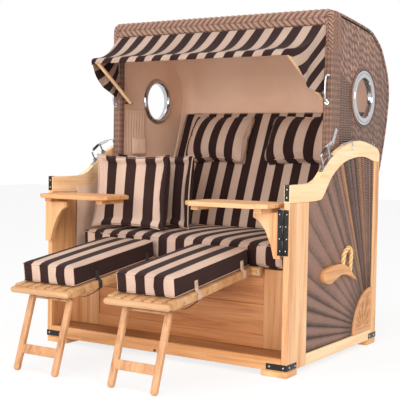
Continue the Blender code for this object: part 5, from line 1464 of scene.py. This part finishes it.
def leg(name, x):
    # a flat leg whose width follows a half circle at its foot and a flatter one at its hinge
    width, thick = footrest["leg"]
    half = width / 2
    s = np.concatenate([half * (1 - np.cos(np.linspace(0.12, pi / 2, 8))),
                        np.linspace(half, footrest["reach"] + 0.011 - half, 12)[1:-1],
                        footrest["reach"] + 0.011 - half + half * np.sin(np.linspace(0, pi / 2 - 0.12, 9))])
    wide = np.sqrt(np.clip(1 - np.clip(np.maximum((half - s) / half, (s - (footrest["reach"] + 0.011 - half)) / half),
        0, 1) ** 2, 0.01, 1))
    deep = 0.55 + 0.45 * wide
    section = roundedRect(width, thick, 0.006)
    lead = np.array([0, -math.sin(footrest["lean"]), -math.cos(footrest["lean"])])
    side = np.array([0, -math.cos(footrest["lean"]), math.sin(footrest["lean"])])
    start = np.array([x, footrest["hip"][0] + frontY, footrest["hip"][1]]) - lead * 0.011
    line = start + s[:, None] * lead
    points = line[:, None] + section[None, :, :1] * wide[:, None, None] * np.array([1, 0,
            0]) + section[None, :, 1:] * deep[:, None, None] * side
    points = np.concatenate([points, points[:, :1]], axis=1)
    ends = [np.repeat(points[k].mean(axis=0)[None, None], points.shape[1], axis=1) for k in (0, -1)]
    points = np.concatenate([ends[0], points, ends[1]])
    # the legs take a darker copy of the wood: painted shade
    return meshFrom(name, [(points, evenUv(points))], legShadeTimber, 50)


def buildFootrest(side, x):
    # a slatted frame turned to its slope, a leg pair with a cross bar, and the cushion's straps
    y, z = footrest["pivot"]
    half, top, low = footrest["width"] / 2, z + footrest["height"] / 2, z - footrest["height"] / 2
    front = y - footrest["length"]
    # the frame takes a darker copy of the wood: painted shade on the footrest
    parts = [plank("bar", (x - 0.2, y - 0.015 + frontY, low), (x + 0.2, y + 0.015 + frontY, top), "x", footShadeTimber,
        0.004)]
    for sign in (-1, 1):
        inner, outer = sorted((sign * (half - footrest["rail"]), sign * half))
        parts.append(plank("rail", (x + inner, front + 0.035 + frontY, low + 0.001),
            (x + outer, y + frontY, top - 0.0005), "y", footShadeTimber, 0.004))
    parts.append(plank("nose", (x - half, front + frontY, low + 0.003), (x + half, front + footrest["front"] + frontY,
            top - 0.0062), "x", footShadeTimber, 0.0125))
    wide, thick = footrest["slat"]
    free = 2 * (half - footrest["rail"])
    space = (free - footrest["slats"] * wide) / (footrest["slats"] + 1)
    for i in range(footrest["slats"]):
        slat = x - free / 2 + space + i * (wide + space)
        parts.append(plank("slat", (slat, front + 0.017 + frontY, top - thick), (slat + wide, y + frontY, top), "y",
            footShadeTimber, 0.004))
    for sign in (-1, 1):
        hookX = x + sign * (half - 0.03)
        parts.append(plank("hook", (hookX - 0.014, y + 0.012 + frontY, z - 0.017), (hookX + 0.014, y + 0.031 + frontY,
                z - 0.001), "y", footShadeTimber, 0.002))
    frameOf = turned(joined(f"footrestFrame_{side}", parts), footrest["slope"], (y, z))
    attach(frameOf, f"{side}_footrest")
    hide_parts(f"footrest_frame_{side}")

    lead = np.array([0, -math.sin(footrest["lean"]), -math.cos(footrest["lean"])])
    hip = np.array([0, footrest["hip"][0] + frontY, footrest["hip"][1]])
    legs = [leg(f"leg{sign}", x + sign * footrest["spread"]) for sign in (-1, 1)]
    rung = hip + lead * (footrest["reach"] - 0.073 - 0.021)
    across = np.linspace(x - footrest["spread"], x + footrest["spread"], 6)
    legs.append(sweep("rung", np.column_stack([across, np.full(6, rung[1]), np.full(6, rung[2])]),
        roundedRect(0.014, 0.040, 0.003), legShadeTimber, ref=lead))
    legs.append(bar("axle", np.column_stack([across, np.full(6, hip[1]), np.full(6, hip[2])]), 0.0055, legShadeTimber,
        ref=(0, 0, 1)))
    pair = joined(f"footrestLegs_{side}", legs)
    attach(pair, f"{side}_legs")
    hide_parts(f"footrest_legs_{side}")

    heads = [screwHead("head", (x + sign * (half + 0.0001), front + 0.106 + frontY, z - 0.004), "x", sign, 0.0045)
        for sign in (-1, 1)]
    heads += [screwHead("head", (x + sign * 0.185, y - 0.0152 + frontY, z), "y", -1, 0.0045) for sign in (-1, 1)]
    heads = turned(joined(f"footrestScrews_{side}", heads), footrest["slope"], (y, z))
    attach(heads, f"{side}_footrest")

    cloth = webbing if side == "left" else sandWebbing
    for k, along in enumerate((-0.43, -0.075)):
        edge, rail, foot = x + 0.1468, x + half + 0.0009, low - 0.0009
        run = smoothRun([(edge + 0.0006, top + 0.042), (edge + 0.0009, top + 0.024), (edge + 0.0012, top + 0.004),
                         (rail, top - 0.004), (rail, z), (rail, low + 0.003),
                         (rail - 0.004, foot), (rail - 0.018, foot - 0.0004), (rail - 0.034, foot + 0.001)], 3)
        path = np.column_stack([run[:, 0], np.full(len(run), y + along + frontY), run[:, 1]])
        loop = [sweep("strap", path, roundedRect(0.0014, 0.024, 0.0006), cloth, ref=(0, 1, 0), smooth=50)]
        tail = smoothRun([(0.012, foot + 0.002), (-0.02, foot - 0.004), (-0.06, foot - 0.010), (-0.10, foot - 0.011),
            (-0.125, foot - 0.006)], 5)
        if k == 0:
            tailPath = np.column_stack([np.full(len(tail), rail - 0.0035), y + along + tail[:, 0] + frontY,
                tail[:, 1]])
            loop.append(sweep("tail", tailPath, roundedRect(0.0014, 0.006, 0.0006), webbing, ref=(1, 0, 0),
                smooth=50))
        strap = turned(joined(f"footrestStrap_{side}_{k}", loop), footrest["slope"], (y, z))
        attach(strap, f"{side}_footrest")


panel = {"front": 0.15, "rear": 0.172, "low": 0.0783, "top": 0.423, "half": 0.6232, "stile": 0.168, "topRail": 0.078,
    "bottomRail": 0.055, "recess": 0.008, "joint": 0.268}


def buildFrontPanel():
    # two upright boards, a rail above and below, and two boards set back between them with a shadow joint
    f, r = panel["front"] + frontY, panel["rear"] + frontY
    inner, top, low = panel["half"] - panel["stile"], panel["top"], panel["low"]
    # the stiles and the set-back rails and boards take darker copies of the wood: painted shade from the footrests
    upright = [plank("stile", (min(a, b), f, low), (max(a, b), r, top), "z", panelShadeTimber, 0.002)
        for a, b in ((-panel["half"], -inner), (inner, panel["half"]))]
    boards = [plank("rail", (-inner + 0.0006, f + 0.0004, top - panel["topRail"]), (inner - 0.0006, r, top), "x",
                  recessShadeTimber, 0.002),
              plank("rail", (-inner + 0.0006, f + 0.0004, low), (inner - 0.0006, r, low + panel["bottomRail"]), "x",
                  recessShadeTimber, 0.002),
              plank("board", (-inner - 0.004, f + panel["recess"], low + panel["bottomRail"] - 0.005),
                  (inner + 0.004, r - 0.002, panel["joint"] - 0.0009), "x", recessShadeTimber, 0.0025),
              plank("board", (-inner - 0.004, f + panel["recess"], panel["joint"] + 0.0009),
                  (inner + 0.004, r - 0.002, top - panel["topRail"] + 0.005), "x", recessShadeTimber, 0.0025),
              plank("tongue", (-inner, f + panel["recess"] + 0.005, panel["joint"] - 0.006),
                  (inner, r - 0.004, panel["joint"] + 0.006), "x", recessShadeTimber, 0.001)]
    whole = joined("frontPanelBoards", upright + boards)
    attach(whole, "base")
    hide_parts("front_panel")


hinge = {"leaf": 0.025, "thick": 0.0025, "low": 0.506, "height": 0.188, "standoff": 0.0045, "knuckle": 0.004}
bracket = {"length": 0.131, "thick": 0.024, "foot": 0.49, "top": 0.6807, "offset": 0.0125,
           "shares": [(0, 1), (0, 0), (0.24, 0), (0.36, 0.3), (0.55, 0.6), (0.78, 0.8), (1, 0.88), (1, 1)]}


def slab(name, outline, low, high, material, edge=0.002):
    # a board cut to an outline in the front's plane (x, z), from one depth to another, its edges rounded
    outline = np.asarray(outline, float)
    n = len(outline)
    verts = np.vstack([np.column_stack([outline[:, 0], np.full(n, y), outline[:, 1]]) for y in (low, high)])
    faces = [list(range(n)), list(range(2 * n - 1, n - 1, -1))] + [[i, (i + 1) % n, n + (i + 1) % n, n + i]
        for i in range(n)]
    mesh = bpy.data.meshes.new(name)
    mesh.from_pydata(verts, [], faces)
    mesh.uv_layers.new(name="UVMap")
    piece = finishMesh(name, mesh, material, 40)
    refine(piece, "BEVEL", width=edge, segments=3, limit_method="ANGLE", angle_limit=math.radians(25))
    applyModifiers(piece)
    return piece


def buildTableFittings(side, axisX, sign):
    # sign is the way the table reaches from its hinge when it is open over the seat
    y0 = frontY - hinge["standoff"]
    third = hinge["height"] / 3
    for name, way, levels, body in (("hingeLeaf", sign, (0, 2), "base"), ("tableLeaf", 1, (1,), f"{side}_table")):
        x0, x1 = axisX + sign * way * (hinge["knuckle"] + 0.0003), axisX + sign * way * hinge["leaf"]
        facing = 1 if name == "hingeLeaf" or sign < 0 else -1
        faceY = y0 + (hinge["standoff"] - 0.0003) * facing
        back = faceY - hinge["thick"] * facing
        low, high = sorted((faceY, back))
        foot, head = hinge["low"], hinge["low"] + hinge["height"]
        parts = [slab("leaf", [(x0, foot), (x1, foot), (x1, head), (x0, head)], low, high, darkSteel, 0.0006)]
        for k in levels:
            z = hinge["low"] + k * third
            parts.append(lathe("knuckle", [(0, z + 0.0003), (0.0036, z + 0.0003), (0.004, z + 0.001),
                    (0.004, z + third - 0.0013), (0.0036, z + third - 0.0006), (0, z + third - 0.0006)],
                (axisX, y0, 0), darkSteel, "z", steps=20, smooth=35))
            web = sorted((axisX, x0 + sign * way * 0.002))
            parts.append(slab("web", [(web[0], z + 0.001), (web[1], z + 0.001), (web[1], z + third - 0.0013),
                    (web[0], z + third - 0.0013)], min(y0, back), max(y0, back), darkSteel, 0.0004))
        for k in range(4):
            z = hinge["low"] + hinge["height"] * (0.1 + 0.8 * k / 3)
            x = axisX + sign * way * (0.0125 + 0.004 * (k % 2))
            parts.append(screwHead("head", (x, back + 0.0004 * facing, z), "y", -facing, 0.0034, polished))
        leafOf = joined(f"{name}_{side}", parts)
        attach(leafOf, body)
        if name == "hingeLeaf":
            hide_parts(f"table_hinge_{side}")
    tip = [lathe("tip", [(0, z0), (0.0022, z0), (0.0034, z0 + 0.0012 * up), (0.0030, z0 + 0.0028 * up),
               (0, z0 + 0.0034 * up)], (axisX, y0, 0), polished, "z", steps=20, smooth=50)
           for z0, up in ((hinge["low"] + hinge["height"] - 0.0006, 1), (hinge["low"] + 0.0003, -1))]
    tip = joined(f"hingePin_{side}", tip)
    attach(tip, "base")
    height = bracket["top"] - bracket["foot"]
    outline = [(axisX + sign * (bracket["offset"] + u * bracket["length"]), bracket["foot"] + v * height)
        for u, v in bracket["shares"]]
    near = y0 - hinge["standoff"] * sign
    far = near - bracket["thick"] * sign
    wood = slab(f"tableBracket_{side}", outline, min(near, far), max(near, far), timberZ if side == "right"
        else timberZ2, 0.003)
    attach(wood, f"{side}_table")
    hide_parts(f"table_bracket_{side}")


frameSteel = {"capX": 0.6367, "capScrews": (0.744, 0.777), "level": 0.043, "frontReach": 0.555, "rearReach": 0.60,
              "outer": 0.6511, "bends": (0.0016, 0.02, 0.055, 0.088), "screw": 0.0042, "sideScrews": (0.025, 0.075)}


def buildFrameFittings(side, sign):
    # rail-end plate, corner plates, each a bent strip with its screws
    x = sign * frameSteel["capX"]
    capRun = smoothRun([(-0.0010, 0.729), (-0.0010, 0.745), (-0.0010, 0.775), (-0.0010, 0.7945), (0.0002, 0.7962),
        (0.0040, 0.7964), (0.012, 0.7966), (0.020, 0.7968)], 3)
    parts = [sweep("cap", np.column_stack([np.full(len(capRun), x), capRun[:, 0] + frontY, capRun[:, 1]]),
                 roundedRect(0.0015, 0.021, 0.0006), darkSteel, ref=(1, 0, 0)),
             *[screwHead("head", (x, -0.0017 + frontY, z), "y", -1, 0.0036, polished)
                 for z in frameSteel["capScrews"]]]
    for front in (True, False):
        y, way = (-0.0011, 1) if front else (0.9371, -1)
        inner = frameSteel["frontReach"] if front else frameSteel["rearReach"]
        run = np.array([(inner, y), (0.60, y), (0.635, y), (0.6495, y), (0.6508, y + 0.0002 * way),
                        *[(frameSteel["outer"], y + bend * way) for bend in frameSteel["bends"]]])
        parts.append(sweep("corner",
            np.column_stack([sign * run[:, 0], run[:, 1] + frontY, np.full(len(run), frameSteel["level"])]),
            roundedRect(0.0016, 0.026, 0.0007), darkSteel, ref=(0, 0, 1)))
        for spot in (0.57, 0.635) if front else (0.635,):
            parts.append(screwHead("head", (sign * spot, y + frontY - 0.0008 * way, frameSteel["level"]), "y", -way,
                frameSteel["screw"], polished))
        for reach in frameSteel["sideScrews"]:
            place = (sign * 0.6519, y + frontY + reach * way, frameSteel["level"])
            parts.append(screwHead("head", place, "x", sign, frameSteel["screw"], polished))
    plates = joined(f"framePlates_{side}", parts)
    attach(plates, "base")


latch = {"foot": 0.36, "span": 0.075, "height": 0.048, "radius": 0.0042, "lift": 0.004}


def buildLatch(side, sign):
    # the bail's run is the frame's: up from one foot, over, and down to the other, square to the rail's slope
    footY = latch["foot"] * baseDepth
    footZ = float(railTop(footY))
    headY = footY + latch["span"] * 0.75
    slope = math.atan2(float(railTop(headY)) - footZ, headY - footY)
    along, up = np.array([0, math.cos(slope), math.sin(slope)]), np.array([0, -math.sin(slope), math.cos(slope)])
    base = np.array([sign * (halfWidth - 0.01325), footY + frontY, footZ]) + up * (latch["radius"] + latch["lift"])
    h, s = latch["height"], latch["span"]
    corners = [(0, 0), (0, h * 0.45), (0, h * 0.72), (s * 0.06, h * 0.94), (s * 0.2, h), (s * 0.5, h), (s * 0.8, h),
        (s * 0.94, h * 0.94), (s, h * 0.72), (s, h * 0.45), (s, 0)]
    run = smoothRun([base + along * a + up * b for a, b in corners], 5)
    bail = bar(f"latchBail_{side}", run, latch["radius"], polished, ref=(1, 0, 0), count=14)
    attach(bail, f"{side}_latch")
    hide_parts(f"latch_bail_{side}")
    sleeveRun = [base + along * a + up * h for a in np.linspace(s * 0.24, s * 0.76, 8)]
    sleeve = bar(f"latchGrip_{side}", sleeveRun, latch["radius"] + 0.0026, blackNylon, ref=(1, 0, 0), count=16)
    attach(sleeve, f"{side}_latch")
    # ears on the rail beside the bail's feet, on one foot plate that follows the rail
    spread = np.linspace(footY - 0.030, footY + s + 0.006, 14)
    plateRun = np.column_stack([np.full(14, base[0]), spread + frontY, railTop(spread) + 0.0009])
    parts = [sweep("foot", plateRun, roundedRect(0.0016, 0.019, 0.0007), pressed, ref=(1, 0, 0))]
    for a in (0, s):
        for away in (-1, 1):
            centre = base + along * (a + away * 0.0068)
            ear = [centre - up * 0.0085, centre - up * 0.004, centre + up * 0.002, centre + up * 0.0065]
            parts.append(sweep("ear", ear, roundedRect(0.0013, 0.013, 0.0006), pressed, ref=(1, 0, 0)))
        pinRun = [base + along * (a + d) for d in np.linspace(-0.009, 0.009, 4)]
        parts.append(bar("pin", pinRun, 0.0021, polished, ref=(1, 0, 0), count=12))
    parts.append(screwHead("head", (base[0], spread[0] + 0.007 + frontY, float(railTop(spread[0] + 0.007)) + 0.0018),
        "z", 1, 0.0036, polished))
    ears = joined(f"latchFoot_{side}", parts)
    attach(ears, "base")
    # on the border: a catch plate that the bail's rod hooks into, inside of the rail; a stud further back
    x = 0.6166
    hooks = [sweep("plate", [(sign * x, y + frontY, z) for y, z in ((0.4600, 0.962), (0.470, 0.978), (0.484, 1.001),
                 (0.498, 1.024), (0.506, 1.037))], roundedRect(0.002, 0.023, 0.0008), polished, ref=(0, 0.85, -0.53)),
             sweep("nose",
                 [(sign * nx, y + frontY, z) for nx, y, z in ((0.6172, 0.474, 0.984), (0.6185, 0.470, 0.975),
                 (0.6205, 0.467, 0.969), (0.6220, 0.466, 0.970), (0.6223, 0.467, 0.979))],
                   roundedRect(0.0015, 0.012, 0.0006), polished, ref=(0, 1, 0))]
    for y, z in ((0.4895, 1.010), (0.5015, 1.030)):
        hooks.append(screwHead("head", (sign * (x + 0.0012), y + frontY, z), "x", sign, 0.0038))
    wallX = 0.6094
    hooks.append(lathe("stud", np.array([(0, 0), (0.008, 0), (0.008, 0.0022), (0.0042, 0.0028), (0.0042, 0.0092),
                           (0.0058, 0.0098), (0.0058, 0.0118), (0.004, 0.0126), (0, 0.0128)]) * (1, sign)
                       + (0, sign * wallX),
                       (0, 0.935 + frontY, 0.972), polished, "x", steps=24, smooth=35))
    wallSet = joined(f"hoodCatch_{side}", hooks)
    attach(wallSet, "hood")
    # the pull spring: a helix round the line from the bail to its rod, and the rod's hook behind the catch's nose
    start = run[-22] + up * 0.001
    end = np.array([sign * 0.632, 0.428 + frontY, 0.974])
    lead = unit(end - start)
    sideways = unit(np.cross(lead, (0, 0, 1)))
    turnsOf = np.linspace(0, 1, 190)[:, None]
    radius = 0.0066 * np.clip(np.minimum(turnsOf, 1 - turnsOf) / 0.04, 0, 1)
    helix = start + (end - start) * turnsOf + radius * (sideways * np.cos(2 * pi * 9 * turnsOf)
        + np.cross(lead, sideways) * np.sin(2 * pi * 9 * turnsOf))
    spring = sweep("spring", helix, ring(0.0015, 8), polished, ref=(0.3, 0.2, 0.93), smooth=60)
    rod = bar("rod", smoothRun([end, (sign * 0.6275, 0.444 + frontY, 0.978), (sign * 0.6215, 0.457 + frontY, 0.979),
            (sign * 0.6195, 0.466 + frontY, 0.977), (sign * 0.6194, 0.4695 + frontY, 0.9735)], 5), 0.0017, polished,
        ref=(0, 0, 1), count=10)
    pull = joined(f"latchSpring_{side}", [spring, rod])
    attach(pull, f"{side}_latch")
    # a wire stay that is hooked over the rail's top
    top = lambda y: float(railTop(y))
    stay = smoothRun([(sign * 0.6262, 0.530 + frontY, top(0.530) + 0.0030),
                      (sign * 0.640, 0.570 + frontY, top(0.570) + 0.0042),
                      (sign * 0.6500, 0.598 + frontY, top(0.598) + 0.0030),
                      (sign * 0.6524, 0.605 + frontY, top(0.605) - 0.010),
                      (sign * 0.6524, 0.606 + frontY, top(0.605) - 0.034)], 6)
    wire = bar(f"railStay_{side}", stay, 0.0028, polished, ref=(0, 1, 0), count=12)
    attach(wire, "base")


sideCloth = {"front": 0.1795, "rear": 0.62, "foot": 0.30, "over": 0.022, "x": 0.6222, "thick": 0.0014}


def buildSideLining(side, sign):
    # inside the woven side: up the post, under the arch's rail and down behind the hood's border
    front, rear = sideCloth["front"], sideCloth["rear"]
    y = np.linspace(front, rear, 30)
    upper = np.column_stack([y, railUnder(y) + sideCloth["over"]])
    outline = np.vstack([upper, [(rear, sideCloth["foot"]), (front, sideCloth["foot"])]])
    cloth = flatCloth(f"sideLining_{side}", [outline], sign * sideCloth["x"], sideCloth["thick"], liningInner)
    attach(cloth, "base")
    declareSheet(cloth)


def buildPocket():
    # two gathered pockets on the left wall: fullness times pleats that fade towards the seam below
    wallX = -(hood["half"] - hood["wall"] - 0.0026)
    for name, y0, y1, z0, z1, bulge, depth, folds in (("pocketWide", 0.505, 0.712, 0.900, 1.142, 0.006, 0.0016, 9),
            ("pocketSmall", 0.578, 0.703, 0.906, 0.990, 0.010, 0.0022, 11)):
        u, v = np.meshgrid(np.linspace(-1, 1, 121), np.linspace(0, 1, 40))
        hem = np.exp(-((v - 0.94) / 0.035) ** 2)
        full = bulge * (1 - u**6) * np.clip(v / 0.12, 0, 1) ** 0.6 * (0.55 + 0.45 * v) * (1 - 0.22 * hem)
        fold = depth * np.sin(pi * folds * u + 0.8 * np.sin(2.3 * u + 4 * v)) * (1 - 0.35 * v) * (1 - u**8) * (1 - 0.5
            * hem)
        lift = 0.0012 + np.maximum(full + fold, 0) + (0.0066 if name == "pocketSmall" else 0)
        points = np.stack([wallX + lift, (y0 + y1) / 2 + (y1 - y0) / 2 * u * (1 - 0.03 * np.sin(pi * v)) + frontY,
            z0 + (z1 - z0) * v - 0.004 * (1 - u**2) * (v < 0.01)], axis=-1)
        cloth = meshFrom(name, [(points, evenUv(points))], liningInner, 60)
        refine(cloth, "SOLIDIFY", thickness=0.0012, offset=1)
        applyModifiers(cloth)
        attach(cloth, "hood")
        declareSheet(cloth)


def buildTrims():
    # a bound border round each window, and the knob on the toe board
    for side, sign in (("left", -1), ("right", 1)):
        angle = np.linspace(0, 2 * pi, 121)[:-1]
        path = np.column_stack([np.full(120, sign * (hood["half"] + 0.0022)), window["place"][0]
            + window["border"] * np.cos(angle) + frontY, window["place"][1] + window["border"] * np.sin(angle)])
        rim = sweep(f"windowBorder_{side}", path, ring(0.0058, 12), fineWicker, ref=(1, 0, 0), closedPath=True)
        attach(rim, "hood")
    knob = lathe("toeKnob", [(0, -0.009), (0.003, -0.0088), (0.0052, -0.007), (0.0055, -0.004), (0.0035, -0.0018),
            (0.0035, 0.0002), (0, 0.0002)], (-0.01, frontY, 0.036), blackNylon, "y", steps=20, smooth=50)
    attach(knob, "base")


buildFrontPanel()
for side, sign in (("left", -1), ("right", 1)):
    buildFootrest(side, footrest["places"][side])
    buildFrameFittings(side, sign)
    buildLatch(side, sign)
    buildSideLining(side, sign)
buildTableFittings("right", 0.6225, -1)
buildTableFittings("left", -0.65, 1)
buildPocket()
buildTrims()
print("fittings, linings and footrests made")
